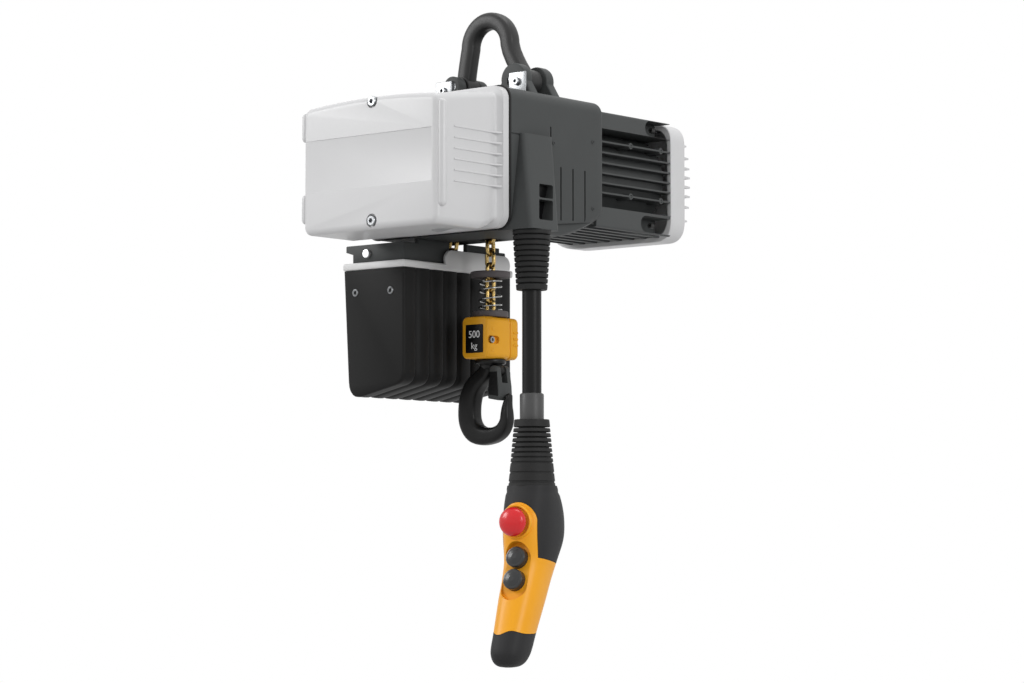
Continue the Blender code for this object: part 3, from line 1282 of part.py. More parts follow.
def build_hoist():
    """Every piece, each in its place."""
    suspension()
    main_body()
    front_cover()
    motor()
    fan_cover()
    gear_train()
    rotor_wheels()
    plates_and_bearings()
    electrics()
    pocket_wheel()
    chain_guide()
    chains()
    socket_cover()
    container()
    buffer()
    hook_block()
    hook()
    latch()
    pendant_lead()
    pendant()


build_hoist()
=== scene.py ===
"""Looks of the electric chain hoist: fine shapes, finishes, camera and light.

Metres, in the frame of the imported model: +X runs right across the front cover, the front cover
faces -Y, the motor is at +Y, +Z is up, and the origin is where the bail hangs.
"""
import math

import bmesh
import bpy
from mathutils import Matrix, Vector


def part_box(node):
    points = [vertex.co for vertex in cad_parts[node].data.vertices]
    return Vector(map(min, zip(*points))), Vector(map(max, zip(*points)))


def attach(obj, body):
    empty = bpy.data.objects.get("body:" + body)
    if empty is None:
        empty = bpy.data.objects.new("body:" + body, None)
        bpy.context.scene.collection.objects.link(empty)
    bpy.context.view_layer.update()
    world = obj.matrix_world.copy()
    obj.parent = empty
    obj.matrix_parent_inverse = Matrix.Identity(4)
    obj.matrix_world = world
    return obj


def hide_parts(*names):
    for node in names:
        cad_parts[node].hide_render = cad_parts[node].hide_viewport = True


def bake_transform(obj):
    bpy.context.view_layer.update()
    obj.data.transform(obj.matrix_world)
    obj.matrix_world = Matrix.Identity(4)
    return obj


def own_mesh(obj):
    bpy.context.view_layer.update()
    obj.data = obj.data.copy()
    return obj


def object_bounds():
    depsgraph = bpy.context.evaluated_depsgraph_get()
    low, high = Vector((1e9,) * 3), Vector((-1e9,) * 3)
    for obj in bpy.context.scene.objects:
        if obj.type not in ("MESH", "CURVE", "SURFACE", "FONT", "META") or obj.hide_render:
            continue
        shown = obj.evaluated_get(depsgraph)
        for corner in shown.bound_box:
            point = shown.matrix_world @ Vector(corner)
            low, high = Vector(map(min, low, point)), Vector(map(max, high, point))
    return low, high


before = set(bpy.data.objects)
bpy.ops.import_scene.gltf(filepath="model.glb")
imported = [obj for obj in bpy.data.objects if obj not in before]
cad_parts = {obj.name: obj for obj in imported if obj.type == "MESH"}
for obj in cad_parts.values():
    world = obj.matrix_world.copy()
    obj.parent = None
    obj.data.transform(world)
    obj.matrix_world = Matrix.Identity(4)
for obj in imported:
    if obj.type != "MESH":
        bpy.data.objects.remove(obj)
CAD_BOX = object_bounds()
MM = 0.001
FRONT = (0, -1, 0)
BACK = (0, 1, 0)
RIGHT = (1, 0, 0)

# Camera, as the photograph was taken
CAMERA_SPOT = (2.0378, -2.3595, -0.557)
CAMERA_AZIMUTH = math.radians(40.4)
CAMERA_PITCH = math.radians(4.2)
FOCAL_PX = 3000
IMAGE_WIDTH_PX = 1024
SENSOR_MM = 36

# Where the pendant hangs, and how it is turned about its cable
CABLE_X = 0.101
CABLE_Y = -0.053
PENDANT_TURN = math.radians(12)
PENDANT_PLACE = Matrix.Translation((CABLE_X, CABLE_Y, 0)) @ Matrix.Rotation(PENDANT_TURN, 4, "Z")


def linear(code):
    """A colour's sRGB hex code as linear red, green, blue and alpha."""
    levels = [int(code[start:start + 2], 16) / 255 for start in (1, 3, 5)]
    return [x / 12.92 if x <= 0.04045 else ((x + 0.055) / 1.055) ** 2.4 for x in levels] + [1.0]


def add(tree, kind, settings=(), **sockets):
    """Add a node, set its properties, and fill or link its sockets."""
    made = tree.nodes.new("ShaderNode" + kind)
    for key, value in dict(settings).items():
        setattr(made, key, value)
    for name, value in sockets.items():
        socket = made.inputs[name.replace("_", " ")]
        if isinstance(value, bpy.types.NodeSocket):
            tree.links.new(value, socket)
        else:
            socket.default_value = value
    return made


def coat(name, colour, shade, roughness, grit_mm, relief_mm, metallic=0.0, cloud_mm=45.0,
         streak=1.0, shine=0.5, gloss_coat=0.0):
    """A surface of two close colours in soft clouds, with grit in its gloss and its relief.

    grit_mm is the grain's size, relief_mm its height, streak stretches the grain along Z, and shine
    is the share of the mirror light that the grain lets through.
    """
    material = bpy.data.materials.new(name)
    material.use_nodes = True
    tree = material.node_tree
    tree.nodes.clear()
    where = add(tree, "TexCoord").outputs["Object"]
    clouds = add(tree, "TexNoise", Vector=where, Scale=1 / (cloud_mm * MM), Detail=3.0)
    tint = add(tree, "MixRGB", Fac=clouds.outputs["Fac"], Color1=linear(colour), Color2=linear(shade))
    drawn = add(tree, "Mapping", Vector=where, Scale=(1.0, 1.0, 1 / streak))
    grit = add(tree, "TexNoise", Vector=drawn.outputs["Vector"], Scale=1 / (grit_mm * MM), Detail=2.0)
    spread = 0.07
    gloss = add(
        tree, "MapRange", Value=grit.outputs["Fac"], To_Min=roughness - spread, To_Max=roughness + spread)
    relief = add(tree, "Bump", Height=grit.outputs["Fac"], Distance=relief_mm * MM, Strength=1.0)
    shader = add(
        tree, "BsdfPrincipled", Base_Color=tint.outputs["Color"], Roughness=gloss.outputs["Result"],
        Metallic=metallic, Normal=relief.outputs["Normal"], Specular_IOR_Level=shine,
        Coat_Weight=gloss_coat, Coat_Roughness=0.12)
    add(tree, "OutputMaterial", Surface=shader.outputs["BSDF"])
    return material


# Powder coat on cast aluminium: satin, with a faint orange peel
COVER_COAT = coat(
    "light_grey_powder_coat", "#D6D6D7", "#D2D2D3", 0.34, 1.6, 0.02, shine=0.4)
# Textured powder coat: matt, with a fine even grain that takes the shine off
BODY_COAT = coat(
    "dark_grey_textured_coat", "#484A4A", "#434545", 0.52, 0.9, 0.03, shine=0.2)
# Stove paint on an extruded housing: smoother than the textured coat
MOTOR_COAT = coat(
    "black_grey_stove_paint", "#4A4C4C", "#454747", 0.48, 1.2, 0.02, shine=0.25)
# Black paint over a drop forging: the scale below leaves soft hollows
FORGED = coat(
    "black_painted_forging", "#383838", "#2F2F2F", 0.4, 3.0, 0.08, shine=0.25)
# The hook's thicker dip coat: nearly black
HOOK_COAT = coat(
    "black_dipped_forging", "#1B1B1B", "#161616", 0.34, 3.5, 0.07, shine=0.2)
# Polypropylene from a spark-eroded mould: dull black with a fine leathery grain
BIN_PLASTIC = coat(
    "black_grained_polypropylene", "#1F1F1F", "#1B1B1B", 0.5, 0.8, 0.03, shine=0.12)
# Natural rubber from a mould: dull, with a slight bloom
RUBBER = coat("black_moulded_rubber", "#2A2A2A", "#252525", 0.62, 0.9, 0.03, shine=0.2)
# Filled rubber of the buffer discs: browner and paler than the boots
DISC_RUBBER = coat(
    "brown_grey_filled_rubber", "#5E595A", "#575253", 0.6, 0.9, 0.03, shine=0.25)
# Extruded sheath: smooth and slightly shiny, drawn along its length
SHEATH = coat(
    "black_pvc_sheath", "#1B1B1B", "#181818", 0.36, 1.0, 0.01, streak=12.0, shine=0.15)
# Polyamide tube: smooth mid grey
SLEEVE_GREY = coat(
    "grey_polyamide_tube", "#505050", "#4B4B4B", 0.42, 1.0, 0.01, streak=8.0, shine=0.25)
# Soft-touch over-moulding on the pendant: deep matt black
GRIP_BLACK = coat(
    "black_soft_touch_moulding", "#2D2D2E", "#29292A", 0.58, 0.7, 0.02, shine=0.2)
# Coloured ABS: even, warm and satin
PENDANT_YELLOW = coat("yellow_abs", "#FBAF22", "#F7A81C", 0.38, 1.1, 0.01, shine=0.3)
# Enamel over an iron casting: a little orange peel
BLOCK_YELLOW = coat(
    "yellow_enamelled_casting", "#F2AE28", "#EBA722", 0.4, 2.0, 0.04, shine=0.25)
# Polycarbonate: clear deep gloss
STOP_RED = coat(
    "red_gloss_polycarbonate", "#E0252C", "#D82127", 0.24, 2.0, 0.005, shine=0.35,
    gloss_coat=0.15)
# Hard ABS keys with polished facets
KEY_BLACK = coat(
    "black_polished_abs", "#343536", "#2F3031", 0.26, 0.4, 0.002, shine=0.4)
# Clear-passivated zinc on pressed steel: bright, with cloudy dull patches
ZINC = coat(
    "bright_zinc_plate", "#A6A8AA", "#86888A", 0.34, 1.5, 0.01, 1.0, cloud_mm=4.0)
# Polished zinc on the pin's flat head: whiter than the pressed pieces
PIN_ZINC = coat(
    "polished_zinc_plate", "#F4F5F6", "#EAECEE", 0.3, 1.5, 0.005, 1.0, cloud_mm=8.0)
# Yellow-passivated zinc on the chain: gold that drifts towards brown and green
CHAIN_GOLD = coat(
    "yellow_passivated_zinc", "#CDB37A", "#A98C50", 0.26, 1.2, 0.01, 1.0, cloud_mm=5.0)
# Drawn spring wire with a film of oil
SPRING_WIRE = coat(
    "oiled_spring_wire", "#BEBEBC", "#9A9A98", 0.25, 0.6, 0.01, 1.0, cloud_mm=5.0)
# Black anodised plate, and the plain white print on it; the same black also paints shade on the latch's
# faces and inside the hood's and the cover's windows
BLACK_PLATE_AND_SHADE = coat(
    "black_anodised_plate_and_painted_shade", "#0E0E0F", "#0B0B0C", 0.36, 0.8, 0.005, shine=0.15)
PRINT_WHITE = coat("white_pad_print", "#F0F0F0", "#E8E8E8", 0.5, 1.0, 0.002)
# Light polyamide of the container's rim
RIM_GREY = coat(
    "light_grey_polyamide", "#E2E2E2", "#DCDCDC", 0.45, 0.9, 0.02, shine=0.3)
# Enamelled windings, glass-fibre board, and plain aluminium inside the housing
WINDING = coat(
    "enamelled_copper_wire", "#B5723F", "#8F5527", 0.35, 0.9, 0.15, 1.0, 12.0, 10.0)
LAMINATE = coat("green_glass_laminate", "#1F5A38", "#1A4E30", 0.4, 0.5, 0.01)
CAST_PLATE = coat("plain_cast_aluminium", "#8C8E90", "#7C7E80", 0.5, 1.8, 0.05, 1.0)


def rounded(low_u, high_u, low_v, high_v, radius, steps=8):
    """A rectangle's outline with round corners, anticlockwise."""
    corners = (
        (high_u - radius, low_v + radius, -90), (high_u - radius, high_v - radius, 0),
        (low_u + radius, high_v - radius, 90), (low_u + radius, low_v + radius, 180))
    return [point for u, v, start in corners for point in arc(u, v, radius, start, start + 90, steps)]


def arc(u, v, radius, start, end, steps):
    """Points on an arc, angles in degrees."""
    angles = [math.radians(start + (end - start) * step / steps) for step in range(steps + 1)]
    return [(u + radius * math.cos(angle), v + radius * math.sin(angle)) for angle in angles]


def oval(half_u, half_v, corner, count):
    """A superellipse outline: corner 2 is an ellipse, and more is squarer."""
    points = []
    for index in range(count):
        angle = 2 * math.pi * (index + 0.5) / count
        u = math.copysign(abs(math.cos(angle)) ** (2 / corner), math.cos(angle))
        v = math.copysign(abs(math.sin(angle)) ** (2 / corner), math.sin(angle))
        points.append((half_u * u, half_v * v))
    return points


def place(axis, u, v, along):
    """A point from its two outline coordinates and its distance along an axis."""
    return {"X": Vector((along, u, v)), "Y": Vector((u, along, v)), "Z": Vector((u, v, along))}[axis]


def skin(rings, looped=False):
    """A wall through rings of equally many points: a grid bent round, its ends filled or joined."""
    rows = list(rings) + ([rings[0]] if looped else [])
    count = len(rows[0])
    build = bmesh.new()
    bmesh.ops.create_grid(build, x_segments=count, y_segments=len(rows) - 1, size=0.5)
    build.verts.ensure_lookup_table()
    for index, vertex in enumerate(build.verts):
        vertex.co = rows[index // (count + 1)][index % (count + 1) % count]
    bmesh.ops.remove_doubles(build, verts=build.verts, dist=1e-7)
    if not looped:
        bmesh.ops.holes_fill(build, edges=[edge for edge in build.edges if edge.is_boundary], sides=0)
    bmesh.ops.recalc_face_normals(build, faces=build.faces)
    return build


def slab(outline, axis, low, high):
    """An outline extruded along an axis."""
    return skin([[place(axis, u, v, along) for u, v in outline] for along in (low, high)])


def turned(profile, spot=(0, 0, 0), out=(0, 0, 1), steps=40, looped=False):
    """A profile of (radius, distance) points spun about an axis through a spot."""
    build = bmesh.new()
    knots = [build.verts.new((radius, 0, along)) for radius, along in profile]
    pairs = list(zip(knots, knots[1:])) + ([(knots[-1], knots[0])] if looped else [])
    for pair in pairs:
        build.edges.new(pair)
    bmesh.ops.spin(
        build, geom=build.verts[:] + build.edges[:], cent=(0, 0, 0), axis=(0, 0, 1),
        angle=2 * math.pi, steps=steps, use_merge=True)
    bmesh.ops.remove_doubles(build, verts=build.verts, dist=1e-7)
    turn = Vector((0, 0, 1)).rotation_difference(Vector(out)).to_matrix().to_4x4()
    bmesh.ops.transform(build, matrix=Matrix.Translation(spot) @ turn, verts=build.verts)
    bmesh.ops.recalc_face_normals(build, faces=build.faces)
    return build


def rod(radius, low, high, spot=(0, 0, 0), out=(0, 0, 1), steps=40):
    """A plain cylinder along an axis through a spot."""
    return turned([(0, low), (radius, low), (radius, high), (0, high)], spot, out, steps)


def block(low, high, edge=0.0, segments=3):
    """A box between two corners with its edges rounded."""
    build = bmesh.new()
    bmesh.ops.create_cube(build, size=1.0)
    low, high = Vector(low), Vector(high)
    bmesh.ops.scale(build, vec=high - low, verts=build.verts)
    bmesh.ops.translate(build, vec=(low + high) / 2, verts=build.verts)
    soften(build, edge, segments)
    return build


def soften(build, edge, segments=3, angle=30):
    """Round the edges that are sharper than an angle."""
    if not edge:
        return build
    sharp = [e for e in build.edges if e.is_manifold and e.calc_face_angle() > math.radians(angle)]
    bmesh.ops.bevel(
        build, geom=sharp, offset=edge, offset_type="OFFSET", affect="EDGES", segments=segments,
        profile=0.5, clamp_overlap=True, material=-1)
    return build


def bar(path, sections):
    """A bar along a path, with an outline of (sideways, across) points at each of its points."""
    rings = []
    across = None
    for index, point in enumerate(path):
        before = path[max(index - 1, 0)]
        after = path[min(index + 1, len(path) - 1)]
        run = (after - before).normalized()
        guide = Vector((0, 1, 0)) if across is None else across
        across = (guide - run * guide.dot(run)).normalized()
        sideways = across.cross(run)
        rings.append([point + sideways * u + across * v for u, v in sections[index]])
    return rings


def flowing(points, steps=6):
    """A smooth path through given points."""
    knots = [Vector(point) for point in points]
    ends = [2 * knots[0] - knots[1]] + knots + [2 * knots[-1] - knots[-2]]
    path = []
    for a, b, c, d in zip(ends, ends[1:], ends[2:], ends[3:]):
        for step in range(steps):
            t = step / steps
            bend = (2 * a - 5 * b + 4 * c - d) * t ** 2 + (3 * b - a - 3 * c + d) * t ** 3
            path.append(b + ((c - a) * t + bend) / 2)
    return path + [knots[-1]]


def together(*builds):
    """Several shapes as one mesh, each its own closed island."""
    whole = bmesh.new()
    for build in builds:
        scratch = bpy.data.meshes.new("scratch")
        build.to_mesh(scratch)
        build.free()
        whole.from_mesh(scratch)
        bpy.data.meshes.remove(scratch)
    return whole


def shape(name, build, material):
    """A bmesh as an object, before it is dressed."""
    mesh = bpy.data.meshes.new(name)
    build.to_mesh(mesh)
    build.free()
    mesh.materials.append(material)
    made = bpy.data.objects.new(name, mesh)
    bpy.context.scene.collection.objects.link(made)
    return made


def carve(made, build, how="DIFFERENCE"):
    """Cut a shape out of a piece, or join it on, or keep only what they share."""
    tool = shape("tool", build, made.data.materials[0])
    change = made.modifiers.new("carve", "BOOLEAN")
    change.operation = how
    change.solver = "EXACT"
    change.object = tool
    evaluated = made.evaluated_get(bpy.context.evaluated_depsgraph_get())
    made.data = bpy.data.meshes.new_from_object(evaluated)
    made.modifiers.clear()
    bpy.data.objects.remove(tool, do_unlink=True)
    return made


def dress(made, body, *nodes, sharp=32):
    """Shade a piece, let it ride on a body and let it stand for CAD nodes."""
    made.data.shade_smooth()
    made.data.set_sharp_from_angle(angle=math.radians(sharp))
    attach(made, body)
    if nodes:
        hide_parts(*nodes)
    return made


def piece(name, build, material, body, *nodes, sharp=32):
    """A shape dressed at once."""
    return dress(shape(name, build, material), body, *nodes, sharp=sharp)


def socket_screw(spot, out, head, height, material=ZINC, body="hoist", name="screw"):
    """A cap screw's round head with its hexagon socket, standing out of a face."""
    profile = [(0, 0), (head, 0), (head, height * 0.75), (head * 0.88, height), (0, height)]
    made = shape(name, turned(profile, spot, out, 24), material)
    top = Vector(spot) + Vector(out) * (height + MM)
    return dress(carve(made, rod(head * 0.5, 0, -height * 0.7 - MM, top, out, 6)), body)


def filleted(corners, steps=6):
    """A polygon's outline with its own radius at each (u, v, radius) corner."""
    points = []
    for index, (u, v, radius) in enumerate(corners):
        here = Vector((u, v))
        before = (Vector(corners[index - 1][:2]) - here).normalized()
        after = (Vector(corners[(index + 1) % len(corners)][:2]) - here).normalized()
        half = before.angle(after) / 2
        back = radius / math.tan(half)
        start, end = here + before * back, here + after * back
        for step in range(steps + 1):
            t = step / steps
            points.append((start * (1 - t) ** 2 + here * (2 * t * (1 - t)) + end * t ** 2)[:])
    return points


def set_camera():
    """The photograph's viewpoint."""
    camera = bpy.data.objects.new("camera", bpy.data.cameras.new("camera"))
    camera.data.sensor_width = SENSOR_MM
    camera.data.lens = FOCAL_PX * SENSOR_MM / IMAGE_WIDTH_PX
    camera.location = CAMERA_SPOT
    camera.rotation_euler = (math.pi / 2 + CAMERA_PITCH, 0, CAMERA_AZIMUTH)
    bpy.context.scene.collection.objects.link(camera)
    bpy.context.scene.camera = camera


def cable():
    """The pendant's cable, hanging straight from the upper boot into the sleeve."""
    low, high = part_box("pendant_cable")
    radius = (high.x - low.x) / 2
    rows = 24
    sides = 32
    drop = low.z - high.z
    path = [Vector((CABLE_X, CABLE_Y, high.z + drop * row / rows)) for row in range(rows + 1)]
    rings = [[point + Vector((u, v, 0)) for u, v in oval(radius, radius, 2, sides)] for point in path]
    made = shape("cable", skin(rings), SHEATH)
    made.data.shade_smooth()
    made.data.set_sharp_from_angle(angle=math.radians(50))
    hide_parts("pendant_cable")
    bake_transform(made)


def slit_boot(name, node, low_radius, high_radius, slits, core, body):
    """A rubber boot with narrow (height, depth) slits round it."""
    low, high = (corner.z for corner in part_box(node))
    half_slit = 0.65 * MM
    soft = 0.5 * MM

    def radius(z):
        return high_radius + (low_radius - high_radius) * (high - z) / (high - low)

    profile = [(core, high), (high_radius - soft, high), (high_radius, high - soft)]
    for z, depth in slits:
        top, foot = z + half_slit, z - half_slit
        outer = radius(z)
        profile += [
            (outer, top + soft), (outer - soft, top), (outer - depth, top),
            (outer - depth, foot), (outer - soft, foot), (outer, foot - soft)]
    profile += [(low_radius, low + soft), (low_radius - soft, low), (core, low)]
    return piece(name, turned(profile, (CABLE_X, CABLE_Y, 0), looped=True), RUBBER, body, node)


CABLE_CLEAR = 0.0101


def lead():
    """Boots and sleeve along the cable."""
    low, high = (corner.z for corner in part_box("upper_boot"))
    ribs = 11
    depth = 0.0036
    upper = [(high + (low - high) * rib / ribs + 0.7 * MM, depth) for rib in range(1, ribs)]
    slit_boot("upper_cable_boot", "upper_boot", 0.0157, 0.0196, upper, CABLE_CLEAR, "hoist")
    first, step = -0.4227, 0.005
    deepest, loss = 0.0052, 0.0006
    shallow = 0.0007
    lower = [(first - step * rib, deepest - loss * rib) for rib in range(8)]
    lower += [(-0.4678, shallow), (-0.4773, shallow)]
    slit_boot("lower_cable_boot", "lower_boot", 0.0238, 0.0177, lower, 0.006, "pendant")
    low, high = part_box("cable_sleeve")
    outer = (high.x - low.x) / 2
    inner = CABLE_CLEAR
    profile = [
        (inner, low.z), (outer, low.z), (outer, high.z - 0.0018), (outer - 0.0006, high.z - 0.0006),
        (outer - 0.0018, high.z), (inner, high.z)]
    sleeve = turned(profile, (CABLE_X, CABLE_Y, 0), looped=True)
    piece("cable_sleeve_tube", sleeve, SLEEVE_GREY, "pendant", "cable_sleeve")


PIN_X = {"left": -0.034, "right": 0.051}
PIN_Z = -0.06
PIN_BORE = 0.0063
BAIL_HALF = 0.009
BAIL_SQUARENESS = 3.0


def bail():
    """Forged bail with an eye for each pin."""
    crown = 0.027
    crown_z = -0.018
    rise = crown_z - PIN_Z
    leg = [0, 0.2, 0.4, 0.6, 0.8]
    left = [(PIN_X["left"] + (-crown - PIN_X["left"]) * t ** 1.3, PIN_Z + rise * t) for t in leg]
    flare = PIN_X["right"] - crown
    right = [(crown + flare * (1 - t) ** 1.4, crown_z - rise * (1 - t)) for t in reversed(leg)]
    spine = [Vector((x, 0, z)) for x, z in left + arc(0, crown_z, crown, 180, 0, 24) + right]
    section = oval(BAIL_HALF, BAIL_HALF, BAIL_SQUARENESS, 32)
    bars = [skin(bar(spine, [section] * len(spine)))]
    eye = [
        (PIN_BORE, -0.0098), (0.0117, -0.0098), (0.0125, -0.009), (0.0125, 0.009), (0.0117, 0.0098),
        (PIN_BORE, 0.0098)]
    for x in PIN_X.values():
        bars.append(turned(eye, (x, 0, PIN_Z), BACK, looped=True))
    piece("bail", together(*bars), FORGED, "hoist", "suspension_bail")


def keepers():
    """The bent plates that keep the pins in, and their bolts."""
    for side in PIN_X:
        low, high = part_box("pin_keeper_" + side)
        thick = 0.003
        upright = block((low.x, high.y - thick, low.z), high, 0.0008)
        foot = block(low, (high.x, high.y - 0.0005, low.z + thick), 0.0008)
        piece("keeper_" + side, together(upright, foot), ZINC, "hoist", "pin_keeper_" + side)
        spot = ((low.x + high.x) / 2, high.y - thick, (low.z + high.z) / 2 + 0.002)
        socket_screw(spot, FRONT, 0.0042, 0.0035, name="keeper_bolt_" + side)


# The ears' head radius and half their foot, and where they start from front to back
EARS = {"left": (0.0115, 0.015), "right": (0.0165, 0.0265)}
EAR_STARTS = (-0.0235, 0.0115)
EAR_THICK = 0.012


def ears():
    """The clevis ears on the body's top: a round head about each pin on a wider foot."""
    foot = BODY["top"] - 0.003
    made = []
    for side, (radius, half_base) in EARS.items():
        x = PIN_X[side]
        for near in EAR_STARTS:
            outline = [(x - half_base, foot), (x + half_base, foot)] + arc(x, PIN_Z, radius, -10, 190, 20)
            made.append(soften(slab(outline, "Y", near, near + EAR_THICK), 0.0015, 3, 50))
    return together(*made)


BODY = {
    "left": -0.105, "right": 0.09, "bottom": -0.222, "top": -0.0765, "front": -0.0725, "back": 0.077}
BODY_CORNER = 0.014
BODY_WALL = 0.006
TAIL_START = 0.016
TAIL_RISE = 0.0215
TAIL_CURVE = 1.5
TAIL_STEPS = 8
CHAIN_WAY = ((-0.0723, -0.0133, -0.23), (0.0163, 0.0133, -0.21))
SIDE_GROOVES = (0.0068, 0.0264, 0.046)
SIDE_SCREWS = ((0.0593, -0.1205), (0.0593, -0.1907), (-0.005, -0.1285))


def tail_rise(y):
    """How far the underside has risen on its way to the motor."""
    share = max(0.0, (y - TAIL_START) / (BODY["back"] - TAIL_START))
    return TAIL_RISE * share ** TAIL_CURVE


def case_ring(y, inset, rise):
    """The body's outline at a depth, drawn in by an inset, with its underside raised."""
    outline = rounded(
        BODY["left"] + inset, BODY["right"] - inset, BODY["bottom"] + rise + inset, BODY["top"] - inset,
        max(BODY_CORNER - inset, 0.003))
    return [Vector((u, y, v)) for u, v in outline]


def side_marks():
    """What is cut into the body's right side: seams, grooves and the hollow over its lower lip."""
    right = BODY["right"]
    clear = right + 0.01
    start, run, steps = -0.03, 0.09, 12
    lip_thick = 0.0016
    reach = [start + run * step / steps for step in range(steps + 1)]
    lip = [(y, BODY["bottom"] + tail_rise(y) + lip_thick) for y in reversed(reach)]
    undercut = [(start, -0.215), (0.06, -0.2046)] + lip
    cuts = [
        block((right - 0.0012, BODY["front"] - 0.01, -0.1262), (clear, -0.009, -0.1246)),
        block((right - 0.0015, -0.0105, -0.1262), (clear, -0.0085, -0.112)),
        slab(undercut, "X", right - 0.0045, clear)]
    half = 0.0011
    for y in SIDE_GROOVES:
        foot = -0.2075 + 0.06 * (y - SIDE_GROOVES[0])
        groove = rounded(y - half, y + half, foot, -0.152, 0.001, 4)
        cuts.append(slab(groove, "X", right - 0.0016, clear))
    return cuts


def body():
    """Middle casting with its ears."""
    edge = 0.004
    length = BODY["back"] - edge - TAIL_START
    tail = [TAIL_START + length * step / TAIL_STEPS for step in range(TAIL_STEPS)]
    rings = [case_ring(y, 0, tail_rise(y)) for y in [BODY["front"]] + tail]
    for u, v in arc(0, 0, edge, 0, 90, 5):
        y = BODY["back"] - edge + v
        rings.append(case_ring(y, edge - u, tail_rise(y)))
    made = shape("body_casting", skin(rings), BODY_COAT)
    inner = [BODY["front"] - 0.001] + tail + [BODY["back"] - BODY_WALL]
    carve(made, skin([case_ring(y, BODY_WALL, max(0.0, tail_rise(y) - 0.002)) for y in inner]))
    carve(made, block(*CHAIN_WAY))
    for cut in side_marks():
        carve(made, cut)
    carve(made, ears(), "UNION")
    carve(made, block((0.0432, -0.03, -0.0655), (0.0486, -0.0165, -0.0584)))
    for x in PIN_X.values():
        carve(made, rod(PIN_BORE, -0.05, 0.05, (x, 0, PIN_Z), BACK))
    dress(made, "hoist", "main_body")
    for y, z in SIDE_SCREWS:
        spot = (BODY["right"] - 0.0002, y, z)
        socket_screw(spot, RIGHT, 0.0022, 0.001, BODY_COAT, name="side_screw")


COVER = {"back": -0.0746, "flange": -0.0836, "front": -0.178, "top": -0.09, "bottom": -0.231}
COVER_CROWN = 0.0042
COVER_EDGE = 0.006
COVER_INSET = 0.0056
COVER_WALL = 0.011
# The hollow beside the flange: distance from the flange, and how far the side is drawn in there
FLARE = ((0, 0.0006), (0.001, 0.0042), (0.003, 0.007), (0.006, 0.0076), (0.01, 0.0066), (0.014, 0.0058))
CHIN_LENGTH = 0.03
BAND = (-0.1825, -0.129)
COVER_SCREWS = {"top": -0.096, "bottom": -0.2165}
COVER_SCREW_X = -0.0035
SCREW_SINK = 0.0028
WINDOW = (0.05, -0.112)


def cover_ring(y, inset):
    """One section of the cover: its top falls and its chin drops from the flange to the nose."""
    share = min(1.0, max(0.0, (COVER["flange"] - y) / (COVER["flange"] - COVER["front"])))
    chin = min(1.0, share * (COVER["back"] - COVER["front"]) / CHIN_LENGTH)
    top = BODY["top"] + (COVER["top"] - BODY["top"]) * share - inset
    bottom = BODY["bottom"] + (COVER["bottom"] - BODY["bottom"]) * chin + inset
    left, right = BODY["left"] + inset, BODY["right"] - inset
    corner = max(BODY_CORNER - inset, 0.003)
    outline = rounded(left, right, bottom, top, corner)
    crown = []
    for step in range(1, 24):
        across = 1 - step / 12
        u = (left + right) / 2 + across * ((right - left) / 2 - corner)
        crown.append((u, top + COVER_CROWN * share * (1 - across ** 2)))
    half = len(outline) // 2
    return [Vector((u, y, v)) for u, v in outline[:half] + crown + outline[half:]]


def bead(x, y, low, high):
    """An upright rounded bead on a corner of the cover."""
    radius = 0.0045
    end = arc(0, 0, radius, -90, 0, 6)
    profile = [(u, low + radius + v) for u, v in end] + [(u, high - radius - v) for u, v in reversed(end)]
    return turned(profile, (x, y, 0))


def cover_rib(sign, side, z):
    """One thin rib on a side of the cover, which runs out over the flange's hollow."""
    run = []
    rise_from = -0.1
    for y in (-0.153, -0.13, -0.106, rise_from, -0.0945, -0.0895, -0.0855):
        sunk = COVER_INSET * (1 - max(0.0, (y - rise_from) / (COVER["flange"] - rise_from)) ** 2)
        run.append((side - sign * sunk, y))
    outer = [(x + sign * 0.0009, y) for x, y in run]
    inner = [(x - sign * 0.0012, y) for x, y in reversed(run)]
    half = 0.0009
    return soften(slab(outer + inner, "Z", z - half, z + half), 0.0004, 2, 60)


def cover():
    """Light shell over the electrics."""
    rings = [cover_ring(COVER["back"], 0.0012), cover_ring(COVER["back"] - 0.0006, 0.0006)]
    rings += [cover_ring(COVER["flange"] - run, inset) for run, inset in FLARE]
    rings += [cover_ring(COVER["flange"] - run, COVER_INSET) for run in (0.02, 0.0275, 0.034, 0.06)]
    for u, v in arc(0, 0, COVER_EDGE, 0, 90, 6):
        rings.append(cover_ring(COVER["front"] + COVER_EDGE - v, COVER_INSET + COVER_EDGE - u))
    made = shape("cover_shell", skin(rings), COVER_COAT)
    inner = [cover_ring(COVER["back"] + 0.001, BODY_WALL)]
    for y in (COVER["flange"] - 0.003, COVER["flange"] - CHIN_LENGTH, COVER["front"] + 0.012):
        inner.append(cover_ring(y, COVER_WALL))
    inner.append(cover_ring(COVER["front"] + COVER_EDGE, COVER_WALL + COVER_EDGE))
    carve(made, skin(inner))
    near = COVER["front"] - 0.01
    band = block((-0.12, near, BAND[0]), (0.077, COVER["front"] + 0.0007, BAND[1]), 0.0005)
    carve(made, band)
    window = [(WINDOW[0] + u, WINDOW[1] + v) for u, v in oval(0.02, 0.028, 2, 48)]
    carve(made, slab(window, "Z", -0.24, -0.2115))
    for z in COVER_SCREWS.values():
        carve(made, rod(0.007, -0.02, SCREW_SINK, (COVER_SCREW_X, COVER["front"], z), BACK))
    dress(made, "hoist", "front_cover", sharp=28)


def gasket():
    """Rubber lip between the cover and the body."""
    seal = 0.0007
    outline = rounded(
        BODY["left"] - seal, BODY["right"] + seal, BODY["bottom"] - seal, BODY["top"] + 2 * seal,
        BODY_CORNER + seal)
    gap = 0.0001
    made = shape("gasket_lip", slab(outline, "Y", COVER["back"] + gap, BODY["front"] - gap), RUBBER)
    carve(made, skin([case_ring(y, BODY_WALL, 0) for y in (COVER["back"] - 0.01, BODY["front"] + 0.01)]))
    dress(made, "hoist", "cover_gasket")


